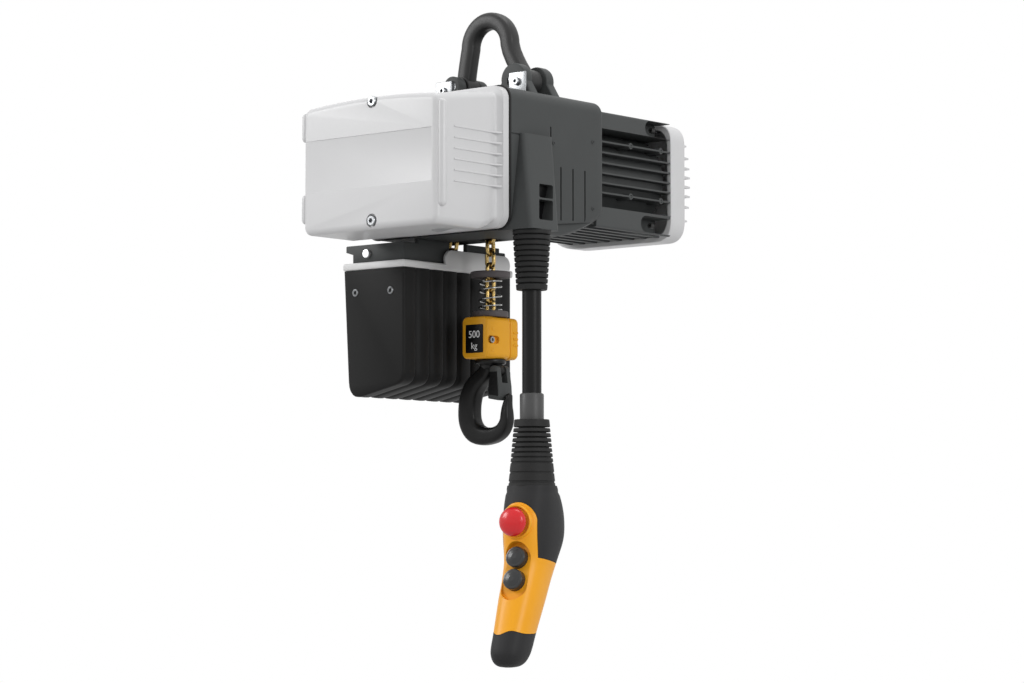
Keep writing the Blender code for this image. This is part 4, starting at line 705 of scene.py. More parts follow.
def cover_trim():
    """Screws, corner beads and side ribs of the cover."""
    for side, z in COVER_SCREWS.items():
        spot = (COVER_SCREW_X, COVER["front"] + SCREW_SINK, z)
        made = socket_screw(spot, FRONT, 0.0052, 0.004, name="cover_screw_head_" + side)
        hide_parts("cover_screw_" + side)
    beads = [
        bead(0.0852, -0.171, -0.208, -0.101), bead(-0.1008, -0.1715, BAND[1], -0.0985),
        bead(-0.1008, -0.1715, -0.213, BAND[0])]
    piece("cover_beads", together(*beads), COVER_COAT, "hoist")
    ribs = []
    highest, step = -0.1264, 0.0109
    for index in range(6):
        z = highest - step * index
        ribs += [cover_rib(1, BODY["right"], z), cover_rib(-1, BODY["left"], z)]
    piece("cover_ribs", together(*ribs), COVER_COAT, "hoist")


def underside_window():
    """The ring in the cover's underside window, and a black plate over the window's inside that paints the
    shade there.
    """
    # Painted shade: a black plate stands for the dark inside of the cover seen through the window
    plate = block((0.026, -0.143, -0.2138), (0.074, -0.084, -0.2126))
    piece("window_painted_shade_plate", plate, BLACK_PLATE_AND_SHADE, "hoist")
    ring = [
        (0.0125, -0.2137), (0.0125, -0.216), (0.0135, -0.2172), (0.0165, -0.2172), (0.0175, -0.216),
        (0.0175, -0.2137)]
    piece("window_ring", turned(ring, (*WINDOW, 0), looped=True), ZINC, "hoist")


MOTOR = {
    "left": -0.095, "right": 0.08, "bottom": -0.207, "top": -0.084, "front": 0.0773, "back": 0.206}
MOTOR_AXIS = (-0.0075, -0.148)
MOTOR_BORE = 0.052
BARREL = 0.0505
BARREL_Z = -0.145
BARREL_SETBACK = 0.0615
HIDDEN_CORNER = 0.045
FIN_TOP = -0.1018
FIN_BOTTOM = -0.185
FIN_HEIGHTS = (-0.1158, -0.1273, -0.1382, -0.149, -0.1594, -0.1699)
FIN_HALF = 0.0009
# Grooves along the underside: how many, where the first is, from one to the next, half width and roof
GROOVES = 8
GROOVE_FIRST = -0.0508
GROOVE_STEP = 0.0173
GROOVE_HALF = 0.0058
GROOVE_ROOF = -0.2025
# Bolt pockets on the right: where each starts, its foot and its roof; and the bolts in them
POCKETS = ((0.161, -0.1016, -0.085), (0.153, -0.2055, -0.188))
MOTOR_BOLTS = ((0.186, -0.0933), (0.184, -0.1965))
BOSS_SPOTS = (0.136, 0.1885)
OVERCUT = 0.01


def fin_gap(sign, top, foot):
    """The space between two fins, from the open side down to the round barrel."""
    side = MOTOR["right"] if sign > 0 else MOTOR["left"]
    middle = side - sign * BARREL_SETBACK
    outline = [(side + sign * OVERCUT, foot), (side + sign * OVERCUT, top)]
    steps = 6
    for step in range(steps + 1):
        z = top + (foot - top) * step / steps
        outline.append((middle + sign * math.sqrt(BARREL ** 2 - (z - BARREL_Z) ** 2), z))
    return slab(outline, "Y", MOTOR["front"] - OVERCUT, MOTOR["back"] + OVERCUT)


def motor():
    """Extruded housing with fins, grooves and bolt pockets."""
    rings = []
    for y, inset in ((MOTOR["front"], 0.0), (MOTOR["back"] - 0.001, 0.0), (MOTOR["back"], 0.001)):
        left, right = MOTOR["left"] + inset, MOTOR["right"] - inset
        low, high = MOTOR["bottom"] + inset, MOTOR["top"] - inset
        corners = (
            (right, low, 0.003), (right, high, 0.003), (left, high, 0.018), (left, low, HIDDEN_CORNER))
        rings.append([Vector((u, y, v)) for u, v in filleted(corners, 10)])
    made = shape("motor_case", skin(rings), MOTOR_COAT)
    tops = [FIN_TOP] + [z - FIN_HALF for z in FIN_HEIGHTS]
    feet = [z + FIN_HALF for z in FIN_HEIGHTS] + [FIN_BOTTOM]
    gaps = [fin_gap(sign, top, foot) for top, foot in zip(tops, feet) for sign in (1, -1)]
    for index in range(GROOVES):
        x = GROOVE_FIRST + GROOVE_STEP * index
        low = (x - GROOVE_HALF, MOTOR["front"] - OVERCUT, MOTOR["bottom"] - OVERCUT)
        gaps.append(block(low, (x + GROOVE_HALF, MOTOR["back"] + OVERCUT, GROOVE_ROOF)))
    carve(made, together(*gaps))
    depth, behind = 0.022, 0.25
    for low_y, low_z, high_z in POCKETS:
        half = (high_z - low_z) / 2
        pocket = arc(low_y + half, low_z + half, half, 90, 270, 10) + [(behind, low_z), (behind, high_z)]
        carve(made, slab(pocket, "X", MOTOR["right"] - depth, MOTOR["right"] + OVERCUT))
    carve(made, rod(MOTOR_BORE, 0.07, 0.22, (MOTOR_AXIS[0], 0, MOTOR_AXIS[1]), BACK, 64))
    dress(made, "hoist", "motor_housing", sharp=30)


def motor_trim():
    """Bosses among the fins, and the bolts in the pockets."""
    bosses = []
    tip = MOTOR["right"] + 0.0003
    boss = [(0.0017, 0.062), (0.0034, 0.062), (0.0034, tip - 0.0004), (0.003, tip), (0.0017, tip)]
    for y in BOSS_SPOTS:
        for z in (FIN_HEIGHTS[0], FIN_HEIGHTS[-1]):
            bosses.append(turned(boss, (0, y, z), RIGHT, 28, looped=True))
    piece("motor_bosses", together(*bosses), MOTOR_COAT, "hoist")
    for y, z in MOTOR_BOLTS:
        socket_screw((MOTOR["right"] - 0.0085, y, z), FRONT, 0.003, 0.005, FORGED, name="motor_bolt")


# The end cap's fins: height and where each one's tip is
HOOD_FINS = {
    -0.1043: 0.2433, -0.1177: 0.247, -0.1288: 0.2487, -0.1387: 0.2496,
    -0.149: 0.2496, -0.1593: 0.2492, -0.1712: 0.2474, -0.1865: 0.2441}
FAN_BACK = 0.2338
HOOD_CORNER = 0.022


def fan_hood():
    """Light end cap with its graded cooling fins."""
    def section(y, inset):
        left, right = MOTOR["left"] + inset, MOTOR["right"] - inset
        low, high = MOTOR["bottom"] - 0.0045 + inset, MOTOR["top"] + 0.001 - inset
        corners = [(*spot, HOOD_CORNER) for spot in ((right, low), (right, high), (left, high))]
        corners.append((left, low, HIDDEN_CORNER))
        return [Vector((u, y, v)) for u, v in filleted(corners, 10)]

    front = MOTOR["back"] + 0.0003
    edge = 0.005
    wall = 0.005
    rings = [section(front, 0.0006), section(front + 0.0006, 0)]
    rings += [section(FAN_BACK - edge + v, edge - u) for u, v in arc(0, 0, edge, 0, 90, 6)]
    made = shape("fan_hood", skin(rings), COVER_COAT)
    carve(made, skin([section(front - 0.001, wall), section(FAN_BACK - wall, wall)]))
    dress(made, "hoist", "fan_cover", sharp=30)
    fins = []
    left, right = MOTOR["left"] + edge, MOTOR["right"] - edge
    for z, tip in HOOD_FINS.items():
        fin = []
        for y, half, narrow in ((FAN_BACK - 0.0025, 0.0017, 0.0), (tip, 0.0009, 0.002)):
            low, high = left + narrow, right - narrow
            corners = ((low, z - half), (high, z - half), (high, z + half), (low, z + half))
            fin.append([Vector((u, y, v)) for u, v in corners])
        fins.append(skin(fin))
    piece("fan_hood_fins", together(*fins), COVER_COAT, "hoist")


def hood_pane(high, low):
    """One of the slanted panes in the hood's window."""
    near, far = -0.0496, -0.0279
    corner = 0.002

    def lean(z):
        return 0.0106 * (-0.176 - z) / 0.0375

    corners = [(y - lean(z), z, corner) for y, z in ((near, high), (near, low), (far, low), (far, high))]
    return slab(filleted(corners, 4), "X", 0.1005, 0.13)


# The cable hood at its top, and how each measure grows down to its foot
HOOD_TOP = {"z": -0.124, "out": 0.006, "front": -0.059, "back": -0.012}
HOOD_GROWTH = {"z": -0.0995, "out": 0.0227, "front": -0.0145, "back": -0.017}


def socket_hood():
    """Hood over the pendant's cable entry, with its barred window."""
    wall = BODY["right"] + 0.0003
    rings = []
    steps = 12
    for step in range(steps + 1):
        share = step / steps
        at = {side: HOOD_TOP[side] + HOOD_GROWTH[side] * share for side in HOOD_TOP}
        outline = rounded(wall - 0.02, wall + at["out"], at["front"], at["back"], 0.006)
        rings.append([Vector((u, v, at["z"])) for u, v in outline])
    made = shape("socket_hood", skin(rings), BODY_COAT)
    outline = rounded(BODY["left"], wall, BODY["bottom"] - 0.0003, BODY["top"], BODY_CORNER)
    carve(made, slab(outline, "Y", -0.09, -0.005))
    carve(made, hood_pane(-0.176, -0.1905))
    carve(made, hood_pane(-0.1925, -0.2137))
    dress(made, "hoist", "cable_socket_cover", sharp=30)
    # Painted shade: a black sheet on the floor of the window's panes stands for the dark depth behind them
    backing = block((0.0998, -0.062, -0.2145), (0.1012, -0.027, -0.175))
    piece("hood_window_painted_shade", backing, BLACK_PLATE_AND_SHADE, "hoist")


BIN = {
    "left": -0.1255, "right": -0.04, "top": -0.2538, "low": -0.3893, "heel": -0.3728, "front": -0.09,
    "back": 0.082}
RIDGES = 8
# One ridge's profile: how far along it, and what share of the groove's depth it has sunk
RIDGE = (
    (0, 1), (0.06, 0.65), (0.14, 0.25), (0.25, 0.05), (0.5, 0), (0.75, 0.05), (0.86, 0.25), (0.94, 0.65))
RIM_LOW = BIN["top"] + 0.0003
RIM_HIGH = RIM_LOW + 0.0077
RIM_WALL = 0.006
BRACKET_WALL = 0.005
BRACKET_LEFT = -0.127
BRACKET_TOP = -0.2268
BRACKET_GATE = 0.014
RIVETS_X = (-0.1083, -0.0586)


def bin_ring(y, inset):
    """The container's slanted outline at a depth."""
    left, right = BIN["left"] + inset, BIN["right"] - inset
    corners = (
        (right, BIN["top"], 0.0001), (left, BIN["top"], 0.0001), (left + 0.008, BIN["low"] + inset, 0.016),
        (right, BIN["heel"] + inset, 0.015))
    return [Vector((u, y, v)) for u, v in filleted(corners)]


def bucket():
    """Ridged bucket for the slack chain."""
    front, back = BIN["front"], BIN["back"]
    pitch = (back - front) / RIDGES
    groove = 0.0028
    stations = [(front, 0.0022), (front + 0.0007, 0.0007), (front + 0.0022, 0.0)]
    for ridge in range(RIDGES):
        for share, sunk in RIDGE:
            if ridge or share >= 0.25:
                stations.append((front + pitch * (ridge + share), groove * sunk))
    stations.append((back, groove))
    made = shape("container_bucket", skin([bin_ring(y, inset) for y, inset in stations]), BIN_PLASTIC)
    inner = bin_ring(0, 0.0065)
    hollow = [(point.x, point.z + (0.02 if point.z > BIN["top"] - 0.0007 else 0)) for point in inner]
    carve(made, slab(hollow, "Y", front + 0.004, back - 0.004))
    dress(made, "hoist", "chain_container", sharp=40)


def bin_rim():
    """Light rim on the bucket, with an arch on its right."""
    front, back = BIN["front"], BIN["back"]
    proud = 0.001
    outer = BIN["right"] + proud
    edging = block((BIN["left"] - proud, front - proud, RIM_LOW), (outer, back + proud, RIM_HIGH), 0.0022)
    made = shape("container_rim_frame", edging, RIM_GREY)
    arch = slab(rounded(-0.026, 0.078, RIM_LOW + 0.002, -0.231, 0.01), "X", outer - 0.004, outer)
    carve(made, soften(arch, 0.0008, 2, 60), "UNION")
    mouth_end = (BIN["right"] - RIM_WALL, back - RIM_WALL, 0)
    mouth = block((BIN["left"] + RIM_WALL, front + RIM_WALL, RIM_LOW - 0.001), mouth_end)
    dress(carve(made, mouth), "hoist", "container_rim")


def bin_bracket():
    """The bracket that hangs the bucket, with its pin, and the bucket's rivets."""
    front, back = BIN["front"], BIN["back"]
    wall = BRACKET_WALL
    left, right, top = BRACKET_LEFT, BIN["right"] - wall, BRACKET_TOP
    foot = RIM_HIGH + 0.0003
    frame_box = block((left, front + wall, foot), (right, back - wall, top), 0.0012, 2)
    made = shape("container_bracket_frame", frame_box, BODY_COAT)
    rail_end = (right, BODY["back"] - 0.01, BODY["bottom"] - 0.0003)
    rail = block((right - wall, BODY["front"] + 0.01, top - 0.004), rail_end, 0.0008, 2)
    carve(made, rail, "UNION")
    carve(made, block((left + wall, front + 2 * wall, foot - 0.001), (right - wall, back - 2 * wall, 0)))
    carve(made, block((right - wall - 0.001, -BRACKET_GATE, foot - 0.001), (0, BRACKET_GATE, 0)))
    clear, cut = 0.01, -0.1165
    corner = [(left - clear, -0.2305), (cut, -0.2365), (cut, foot - clear), (left - clear, foot - clear)]
    carve(made, slab(corner, "Y", front, back))
    dress(made, "hoist", "container_bracket")
    pin = [
        (0, 0.02), (0.003, 0.02), (0.003, 0), (0.0048, 0), (0.0048, -0.0022), (0.0042, -0.0034),
        (0, -0.0037)]
    piece("container_pin", turned(pin, (-0.0957, front + wall, -0.2365), BACK), PIN_ZINC, "hoist")
    rivet = [
        (0.0019, 0.002), (0.0019, -0.0006), (0.0028, -0.0014), (0.0038, -0.0008), (0.0042, 0.0002),
        (0.0042, 0.002)]
    rivets = [turned(rivet, (x, front, -0.2771), BACK, looped=True) for x in RIVETS_X]
    piece("container_rivets", together(*rivets), ZINC, "hoist")


WIRE = 0.0042
LINK_PITCH = 0.0118
LINK_HALF = 0.0047
LINK_STRAIGHT = (LINK_PITCH + WIRE) / 2 - LINK_HALF
LINK_STEP = 0.0127
LOWEST_LINK = -0.3184
HALF_POCKET = math.pi / 12
WHEEL_RADIUS = math.hypot(LINK_PITCH / math.sin(HALF_POCKET), WIRE / math.cos(HALF_POCKET)) / 2
WHEEL_Z = -0.15
SLACK_TOP = -0.187
SLACK_LEAN = math.atan2(0.012, 0.075)


def link(flat, spot):
    """One welded link; the next one stands a quarter turn from it."""
    loop = arc(0, LINK_STRAIGHT, LINK_HALF, 0, 180, 10)
    loop += arc(0, -LINK_STRAIGHT, LINK_HALF, 180, 360, 10)
    rings = []
    for index, (x, z) in enumerate(loop):
        before, after = Vector(loop[index - 1]), Vector(loop[(index + 1) % len(loop)])
        run = (after - before).normalized()
        across = Vector((-run.y, 0, run.x))
        rings.append([Vector((x, v, z)) + across * u for u, v in oval(WIRE / 2, WIRE / 2, 2, 12)])
    build = skin(rings, looped=True)
    turn = Matrix.Rotation(math.pi / 2 if flat else 0, 4, "Z")
    bmesh.ops.transform(build, matrix=spot @ turn, verts=build.verts)
    return build


def chains():
    """Load fall, the links on the wheel and the slack fall."""
    fall = [link(n % 2, Matrix.Translation((0, 0, LOWEST_LINK + LINK_STEP * n))) for n in range(11)]
    piece("load_chain_links", together(*fall), CHAIN_GOLD, "hook_block", "load_chain", sharp=60)
    wheel = Vector((-WHEEL_RADIUS, 0, WHEEL_Z))
    turn = 2 * math.asin(LINK_STEP / (2 * WHEEL_RADIUS))
    wrapped = []
    for index in range(3):
        angle = math.pi / 2 + (index - 1) * turn
        spot = Matrix.Translation(wheel + WHEEL_RADIUS * Vector((math.cos(angle), 0, math.sin(angle))))
        wrapped.append(link(index % 2, spot @ Matrix.Rotation(-angle, 4, "Y")))
    piece("wheel_chain_links", together(*wrapped), CHAIN_GOLD, "drive_wheel", "wheel_chain", sharp=60)
    slack = []
    for index in range(5):
        along = LINK_PITCH + index * LINK_STEP
        x = 2 * wheel.x - along * math.sin(SLACK_LEAN)
        spot = Matrix.Translation((x, 0, SLACK_TOP - along * math.cos(SLACK_LEAN)))
        slack.append(link(index % 2, spot @ Matrix.Rotation(SLACK_LEAN, 4, "Y")))
    piece("slack_chain_links", together(*slack), CHAIN_GOLD, "hoist", "slack_chain", sharp=60)


def buffer_discs():
    """Rubber discs over and under the spring."""
    for name, body in (("buffer_disc_upper", "buffer"), ("buffer_disc_lower", "hook_block")):
        low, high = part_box(name)
        outer = high.x
        soft = 0.0016
        bore = 0.0095
        rim = [(outer - soft + u, low.z + soft + v) for u, v in arc(0, 0, soft, -90, 0, 4)]
        rim += [(outer - soft + u, high.z - soft + v) for u, v in arc(0, 0, soft, 0, 90, 4)]
        profile = [(bore, low.z)] + rim + [(bore, high.z)]
        piece(name + "_rubber", turned(profile, looped=True), DISC_RUBBER, body, name)


def spring():
    """Coil between the discs, closer wound at its ends."""
    low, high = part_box("buffer_spring")
    wire = 0.0009
    coil = 0.0115
    close_ends = 0.45
    turns = 4.5
    count = 150
    path = []
    for index in range(count + 1):
        share = index / count
        lift = share - math.sin(2 * math.pi * share) / (2 * math.pi) * close_ends
        angle = 2 * math.pi * turns * share
        height = low.z + wire + (high.z - low.z - 2 * wire) * lift
        path.append(Vector((coil * math.cos(angle), coil * math.sin(angle), height)))
    rings = bar(path, [oval(wire, wire, 2, 10)] * len(path))
    made = shape("buffer_spring_wire", skin(rings), SPRING_WIRE)
    dress(made, "hook_block", "buffer_spring", sharp=60)
    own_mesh(made)


BLOCK = {"half": 0.0175, "low": -0.347, "high": -0.3035, "front": -0.025, "back": 0.025}
BLOCK_CORNER = 0.006
# Where the block's two halves meet, and the roof of the hook's chamber in them
BLOCK_JOINT = (0.01235, 0.01265)
CHAMBER_TOP = -0.3125
# The plate's print: name, words, letter size and height
PRINTS = (("load_number", "500", 0.0105, -0.3255), ("load_unit", "kg", 0.0095, -0.337))


def printed(name, words, size, z):
    """One line of the plate's white print."""
    letters = bpy.data.curves.new(name, "FONT")
    letters.body = words
    letters.size = size
    letters.extrude = 0.0001
    letters.align_x = "CENTER"
    drawn = bpy.data.objects.new(name, letters)
    mesh = bpy.data.meshes.new_from_object(drawn)
    bpy.data.objects.remove(drawn)
    mesh.transform(Matrix.Translation((0, -0.0257, z)) @ Matrix.Rotation(math.pi / 2, 4, "X"))
    mesh.materials.clear()
    mesh.materials.append(PRINT_WHITE)
    made = bpy.data.objects.new(name, mesh)
    bpy.context.scene.collection.objects.link(made)
    dress(made, "hook_block")


def hook_block():
    """Yellow clamped block with its plate and bolt."""
    outline = rounded(-BLOCK["half"], BLOCK["half"], BLOCK["low"], BLOCK["high"], BLOCK_CORNER)
    front = soften(slab(outline, "Y", BLOCK["front"], BLOCK_JOINT[0]), 0.0022, 4, 60)
    made = shape("block_front", front, BLOCK_YELLOW)
    carve(made, rod(0.0076, CHAMBER_TOP, -0.3))
    chamber = [
        (0, -0.35), (0.0073, -0.35), (0.0073, -0.343), (0.0115, -0.343), (0.0115, CHAMBER_TOP),
        (0, CHAMBER_TOP)]
    carve(made, turned(chamber))
    carve(made, slab(rounded(-0.024, -0.006, -0.3318, -0.3236, 0.0035, 5), "X", 0.0135, 0.02))
    dress(made, "hook_block", "hook_block_front")
    back = soften(slab(outline, "Y", BLOCK_JOINT[1], BLOCK["back"]), 0.0022, 4, 60)
    piece("block_back", back, BLOCK_YELLOW, "hook_block", "hook_block_back")
    marks = []
    for z in (-0.3165, -0.3385):
        marks.append(block((0.017, -0.018, z - 0.0016), (0.0179, -0.014, z + 0.0016), 0.0003, 2))
    for z in (-0.319, -0.3255, -0.332):
        marks.append(block((0.017, 0.0165, z - 0.0011), (0.0185, 0.0235, z + 0.0011), 0.0005, 2))
    piece("block_marks", together(*marks), BLOCK_YELLOW, "hook_block")
    socket_screw((0.0133, -0.015, -0.3277), RIGHT, 0.0036, 0.003, body="hook_block", name="block_bolt")
    plate = slab(rounded(-0.0118, 0.0118, -0.3412, -0.3118, 0.0012, 4), "Y", -0.0256, -0.0249)
    piece("block_plate", soften(plate, 0.0002, 2, 60), BLACK_PLATE_AND_SHADE, "hook_block")
    for line in PRINTS:
        printed(*line)


HOOK_THICK = 0.018
# The hook's neck and tip: across, height, width and thickness
HOOK_NECK = (
    (0, -0.3546, 0.016, HOOK_THICK), (-0.0055, -0.362, 0.017, HOOK_THICK),
    (-0.015, -0.369, 0.0187, HOOK_THICK), (-0.023, -0.378, 0.0207, HOOK_THICK),
    (-0.0273, -0.39, 0.022, HOOK_THICK))
HOOK_TIP = ((0.0235, -0.396, 0.008, 0.011), (0.0258, -0.385, 0.0045, 0.008))
# The bowl: its middle, radius, how far it closes and squares, and its start and sweep in degrees
BOWL = (-0.0005, -0.3997)
BOWL_RADIUS = 0.0279
BOWL_CLOSING = 0.0042
BOWL_SQUARING = 0.002
BOWL_START = 188
BOWL_SWEEP = 164
# The bowl's section: its width, what it loses towards the tip, and the share that keeps it whole
HOOK_WIDTH = 0.0225
HOOK_WIDTH_LOSS = 0.0125
HOOK_THICK_LOSS = 0.005
BOWL_FULL = 0.2
LATCH = (0.013, -0.3595)
LATCH_HALF = 0.0105
LATCH_FORK = 0.0145
LATCH_SLOT = 0.0044


def hook():
    """Forged hook and its collar."""
    knots = list(HOOK_NECK)
    steps = 8
    for step in range(steps + 1):
        share = step / steps
        thin = max(0.0, share - BOWL_FULL) / (1 - BOWL_FULL)
        angle = math.radians(BOWL_START + BOWL_SWEEP * share)
        radius = BOWL_RADIUS - BOWL_CLOSING * share ** 2 + BOWL_SQUARING * math.sin(2 * angle) ** 2
        knots.append((
            BOWL[0] + radius * math.cos(angle), BOWL[1] + radius * math.sin(angle),
            HOOK_WIDTH - HOOK_WIDTH_LOSS * thin, HOOK_THICK - HOOK_THICK_LOSS * thin))
    run = flowing(knots + list(HOOK_TIP), 5)
    path = [Vector((x, 0, z)) for x, z, _wide, _thick in run]
    sections = [oval(wide / 2, thick / 2, 4.0, 40) for _x, _z, wide, thick in run]
    path.append(path[-1] + (path[-1] - path[-2]).normalized() * 0.0018)
    sections.append(oval(0.0009, 0.0018, 2.2, 40))
    collar = [
        (0, -0.362), (0.008, -0.36), (0.0095, -0.3555), (0.0125, -0.3526), (0.016, -0.3516),
        (0.0165, -0.3508), (0.0165, -0.348), (0.016, -0.3473), (0.007, -0.3473), (0.007, -0.332),
        (0, -0.332)]
    lug_top = -0.3506
    lug = [(-0.002, lug_top), (-0.01, -0.364)] + arc(*LATCH, 0.0045, -120, 45, 10) + [(LATCH[0], lug_top)]
    ear = soften(slab(lug, "Y", -0.004, 0.004), 0.0008, 2, 60)
    parts = together(skin(bar(path, sections)), turned(collar), ear)
    piece("hook_forging", parts, HOOK_COAT, "hook", "hook", sharp=45)


def latch():
    """Sprung gate over the hook's mouth, forked about the hook's lug."""
    outline = arc(*LATCH, 0.0055, 200, -10, 14)
    outline += [
        (0.0207, -0.375), (0.0215, -0.387), (0.0195, -0.3905), (0.0058, -0.3882), (0.0048, -0.38),
        (0.0082, -0.3665)]
    gate = soften(slab(outline, "Y", -LATCH_HALF, LATCH_HALF), 0.001, 3, 45)
    made = shape("latch_gate", gate, BODY_COAT)
    carve(made, rod(LATCH_FORK, -LATCH_SLOT, LATCH_SLOT, (LATCH[0], 0, LATCH[1]), BACK))
    dress(made, "latch", "hook_latch")
    # Painted shade: thin black sheets on both faces of the gate darken them as shade would; three small
    # black bars sit on the front sheet
    inset = [(0.0088, -0.3605), (0.0182, -0.3605), (0.0196, -0.386), (0.007, -0.384), (0.0064, -0.3795)]
    cheeks = [slab(inset, "Y", -0.0108, -0.0102), slab(inset, "Y", 0.0102, 0.0108)]
    for z in (-0.369, -0.3745, -0.38):
        cheeks.append(block((0.0112, -0.0111, z - 0.0009), (0.0136, -0.0104, z + 0.0009), 0.0002, 2))
    piece("latch_painted_shade_cheeks", together(*cheeks), BLACK_PLATE_AND_SHADE, "latch")


# The pendant's sections: height, middle, half width and half depth
PENDANT_SHAPE = (
    (-0.481, 0.0005, 0.0237, 0.0237), (-0.5, 0.003, 0.0256, 0.033), (-0.517, 0.004, 0.0262, 0.037),
    (-0.535, 0.003, 0.0258, 0.036), (-0.556, -0.003, 0.0232, 0.03), (-0.575, -0.0115, 0.0215, 0.0275),
    (-0.595, -0.0211, 0.0206, 0.0265), (-0.626, -0.0355, 0.0187, 0.024), (-0.643, -0.0432, 0.0179, 0.0231),
    (-0.651, -0.046, 0.0163, 0.0208), (-0.6565, -0.0475, 0.0134, 0.017), (-0.6597, -0.0483, 0.009, 0.0115),
    (-0.6608, -0.0486, 0.0035, 0.0045))
FACE_Y = -0.033
PLATE_BACK = FACE_Y + 0.01
FACE_HALF = 0.019
FACE_ARCH_Z = -0.517
JOINT_GAP = 0.0004
STOP_Z = -0.5175
STEM_HOLE = 0.0063
KEY_HOLE = 0.0108
BUTTON_TILT = math.radians(15)
UP_SPOT = Vector((0, -0.033, -0.5525))
DOWN_SPOT = Vector((0, -0.0388, -0.5745))


def pendant_solid():
    """The pendant's whole outer shape, upright in its own frame."""
    rings = []
    for z, middle, half_x, half_y in flowing(PENDANT_SHAPE, 6):
        inset = 0.0007 if -0.4905 < z < -0.487 else 0.0
        ring = oval(half_x - inset, half_y - inset, 2.5, 48)
        rings.append([Vector((u, middle + v, z)) for u, v in ring])
    return skin(rings)


def yellow_space(clearance):
    """Where the handle and its arched face are, grown by a clearance."""
    half = FACE_HALF + clearance
    foot = -0.6
    arch = arc(0, FACE_ARCH_Z, half, 0, 180, 32) + [(-half, foot), (half, foot)]
    region = shape("region", slab(arch, "Y", -0.2, PLATE_BACK + clearance), PENDANT_YELLOW)
    front_z, back_z = -0.553 + clearance, -0.564 + clearance
    below = [
        (-0.2, -0.8), (0.2, -0.8), (0.2, back_z - 0.02), (0.045, back_z), (PLATE_BACK, front_z),
        (-0.2, front_z)]
    carve(region, slab(below, "X", -0.1, 0.1), "UNION")
    return region


def taken(made):
    """An object's shape as a bmesh, and the object gone."""
    build = bmesh.new()
    build.from_mesh(made.data)
    bpy.data.objects.remove(made, do_unlink=True)
    return build


def wave(lift):
    """Space below the wavy joint of handle and end cap."""
    middle, height, crest, length = -0.6265, 0.002, 0.008, 0.029
    edge = []
    steps = 48
    for step in range(steps + 1):
        x = -0.03 + 0.06 * step / steps
        edge.append((x, middle + height * math.cos(2 * math.pi * (x - crest) / length) + lift))
    return slab(edge + [(0.05, -0.75), (-0.05, -0.75)], "Y", -0.12, 0.05)


def stand(made):
    """Carry a piece from the pendant's own frame to where it hangs."""
    made.data.transform(PENDANT_PLACE)
    return made


def tilted(build, spot):
    """Lean a shape made along Y to a button's axis."""
    lean = Matrix.Translation(spot) @ Matrix.Rotation(-BUTTON_TILT, 4, "X")
    bmesh.ops.transform(build, matrix=lean, verts=build.verts)
    return build


def pendant():
    """Housing, handle and end cap, with the holes for the stop and the keys."""
    housing = shape("pendant_shell", pendant_solid(), GRIP_BLACK)
    carve(housing, taken(yellow_space(JOINT_GAP)))
    handle = shape("pendant_grip", pendant_solid(), PENDANT_YELLOW)
    carve(handle, taken(yellow_space(0)), "INTERSECT")
    carve(handle, wave(0))
    cap = shape("pendant_cap", pendant_solid(), GRIP_BLACK)
    carve(cap, wave(-JOINT_GAP), "INTERSECT")
    middle = (UP_SPOT + DOWN_SPOT) / 2
    recess, recess_depth = 0.014, 0.0046
    stadium = arc(0, 0.013, recess, 0, 180, 20) + arc(0, -0.019, recess, 180, 360, 20)
    carve(handle, tilted(slab(stadium, "Y", -0.02, recess_depth), middle))
    carve(handle, rod(STEM_HOLE, -0.06, -0.017, (0, 0, STOP_Z), BACK))
    for spot in (UP_SPOT, DOWN_SPOT):
        for holder in (handle, housing):
            carve(holder, tilted(rod(KEY_HOLE, -0.02, 0.0145, out=BACK), spot))
    dress(stand(housing), "pendant", "pendant_housing", sharp=35)
    dress(stand(handle), "pendant", "pendant_handle", sharp=35)
    dress(stand(cap), "pendant", "pendant_end_cap", sharp=35)


def emergency_stop():
    """The collar on the handle's face, and the red mushroom in it."""
    ring = [
        (0.015, 0.002), (0.0172, 0.002), (0.0172, -0.0012), (0.0164, -0.0024), (0.0156, -0.0024),
        (0.015, -0.0016)]
    collar = turned(ring, (0, FACE_Y, STOP_Z), BACK, looped=True)
    dress(stand(shape("stop_collar", collar, PENDANT_YELLOW)), "pendant")
    near = FACE_Y - 0.0045
    dome = [
        (STEM_HOLE, 0), (0.0112, 0), (0.0132, 0.0006), (0.0143, 0.0018), (0.0145, 0.003), (0.0143, 0.0046),
        (0.0136, 0.0064), (0.0122, 0.008), (0.0098, 0.0095), (0.0068, 0.0107), (0.0035, 0.0115),
        (0, 0.0118), (0, 0.0043), (STEM_HOLE, 0.0043)]
    dome = turned([(radius, near - out) for radius, out in dome], (0, 0, STOP_Z), BACK, 48)
    head = shape("stop_mushroom", dome, STOP_RED)
    dress(stand(head), "stop_head", "estop_head", sharp=50)


def keys():
    """The two round keys with their faceted crowns."""
    wall = [
        (0, 0.008), (0.0105, 0.008), (0.0105, -0.0022), (0.0098, -0.0032), (0.0086, -0.0035), (0, -0.0035)]
    crown = [(0, -0.003), (0.008, -0.003), (0.0078, -0.0037), (0.0028, -0.0052), (0, -0.0052)]
    for name, spot in (("up_button", UP_SPOT), ("down_button", DOWN_SPOT)):
        key = tilted(together(turned(wall, out=BACK), turned(crown, out=BACK, steps=10)), spot)
        dress(stand(shape(name + "_key", key, KEY_BLACK)), name, name, sharp=12)


INNER = {
    "suspension_pin_left": ZINC, "suspension_pin_right": ZINC, "bearing_plate": CAST_PLATE,
    "gear_plate": CAST_PLATE, "stator": WINDING, "brake_coil": WINDING, "motor_end_shield": CAST_PLATE,
    "cooling_fan": BIN_PLASTIC, "control_board": LAMINATE, "contactor": KEY_BLACK,
    "chain_guide": BIN_PLASTIC, "switch_block": KEY_BLACK, "estop_stem": KEY_BLACK}


def inner_pieces():
    """Finishes for the CAD pieces that are shown as they are; what isn't named is plain steel."""
    for name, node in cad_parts.items():
        if not node.hide_render:
            node.data.materials.clear()
            node.data.materials.append(INNER.get(name, ZINC))


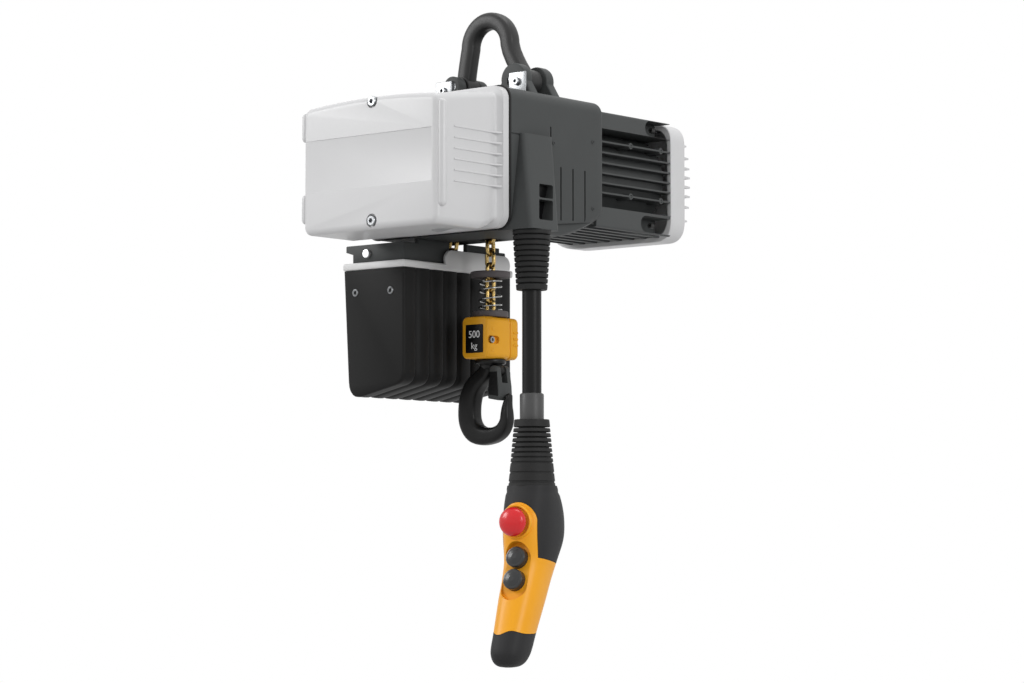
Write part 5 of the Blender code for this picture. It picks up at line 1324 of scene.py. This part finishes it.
def white_rays(tree):
    """1 on the rays that should find a white studio: the camera's, mirrored and refracted ones."""
    ray = add(tree, "LightPath").outputs
    highest = ray["Is Camera Ray"]
    for name in ("Is Glossy Ray", "Is Transmission Ray"):
        larger = add(tree, "Math", {"operation": "MAXIMUM"})
        tree.links.new(highest, larger.inputs[0])
        tree.links.new(ray[name], larger.inputs[1])
        highest = larger.outputs[0]
    return highest


# The soft lamps: name, place, aim, size and watts
LAMPS = (
    ("front_lamp", (-1.55, -1.6, 0.65), (0, -0.05, -0.2), 0.9, 25),
    ("right_lamp", (2.3, -0.4, 0.35), (0, 0, -0.2), 0.9, 20),
    ("top_lamp", (0.2, 0.3, 2.2), (0, 0, -0.2), 1.4, 23))
FLOOR_DROP = 0.25
FLOOR_HALF = 3.5
FLOOR_WHITE = 0.6
WORLD_LEVEL = 0.5


def paper_floor():
    """White paper under the hoist: it shines a little for the camera, and is matt to other light."""
    floor_z = CAD_BOX[0][2] - FLOOR_DROP
    build = bmesh.new()
    bmesh.ops.create_grid(build, x_segments=1, y_segments=1, size=FLOOR_HALF)
    bmesh.ops.translate(build, vec=(0, 0, floor_z), verts=build.verts)
    paper = bpy.data.materials.new("white_paper_sweep")
    paper.use_nodes = True
    tree = paper.node_tree
    tree.nodes.clear()
    seen = white_rays(tree)
    glow = add(tree, "Math", {"operation": "MULTIPLY"})
    tree.links.new(seen, glow.inputs[0])
    glow.inputs[1].default_value = FLOOR_WHITE
    white = add(tree, "Emission", Color=linear("#FFFFFF"), Strength=1.0)
    matt = add(tree, "BsdfDiffuse", Color=linear("#C4C4C4"))
    mix = add(tree, "MixShader", Fac=glow.outputs[0])
    tree.links.new(matt.outputs[0], mix.inputs[1])
    tree.links.new(white.outputs[0], mix.inputs[2])
    add(tree, "OutputMaterial", Surface=mix.outputs[0])
    floor = shape("floor", build, paper)


def pale_world():
    """A white world for the camera, and a dimmer one for the light that falls on the hoist."""
    world = bpy.data.worlds.new("pale_world")
    bpy.context.scene.world = world
    world.use_nodes = True
    tree = world.node_tree
    tree.nodes.clear()
    level = add(tree, "MapRange", Value=white_rays(tree), To_Min=WORLD_LEVEL, To_Max=1.0)
    sky = add(tree, "Background", Color=linear("#FFFFFF"), Strength=level.outputs["Result"])
    add(tree, "OutputWorld", Surface=sky.outputs["Background"])


def lamps():
    """Three soft lamps."""
    for name, spot, aim, size, power in LAMPS:
        lamp = bpy.data.lights.new(name, "AREA")
        lamp.size = size
        lamp.energy = power
        stand_at = bpy.data.objects.new(name, lamp)
        stand_at.location = spot
        stand_at.rotation_euler = (Vector(aim) - Vector(spot)).to_track_quat("-Z", "Y").to_euler()
        bpy.context.scene.collection.objects.link(stand_at)


set_camera()
cable()
lead()
bail()
keepers()
body()
cover()
gasket()
cover_trim()
underside_window()
motor()
motor_trim()
fan_hood()
socket_hood()
bucket()
bin_rim()
bin_bracket()
chains()
buffer_discs()
spring()
hook_block()
hook()
latch()
pendant()
emergency_stop()
keys()
inner_pieces()
paper_floor()
pale_world()
lamps()
bpy.context.scene.view_settings.view_transform = "Standard"
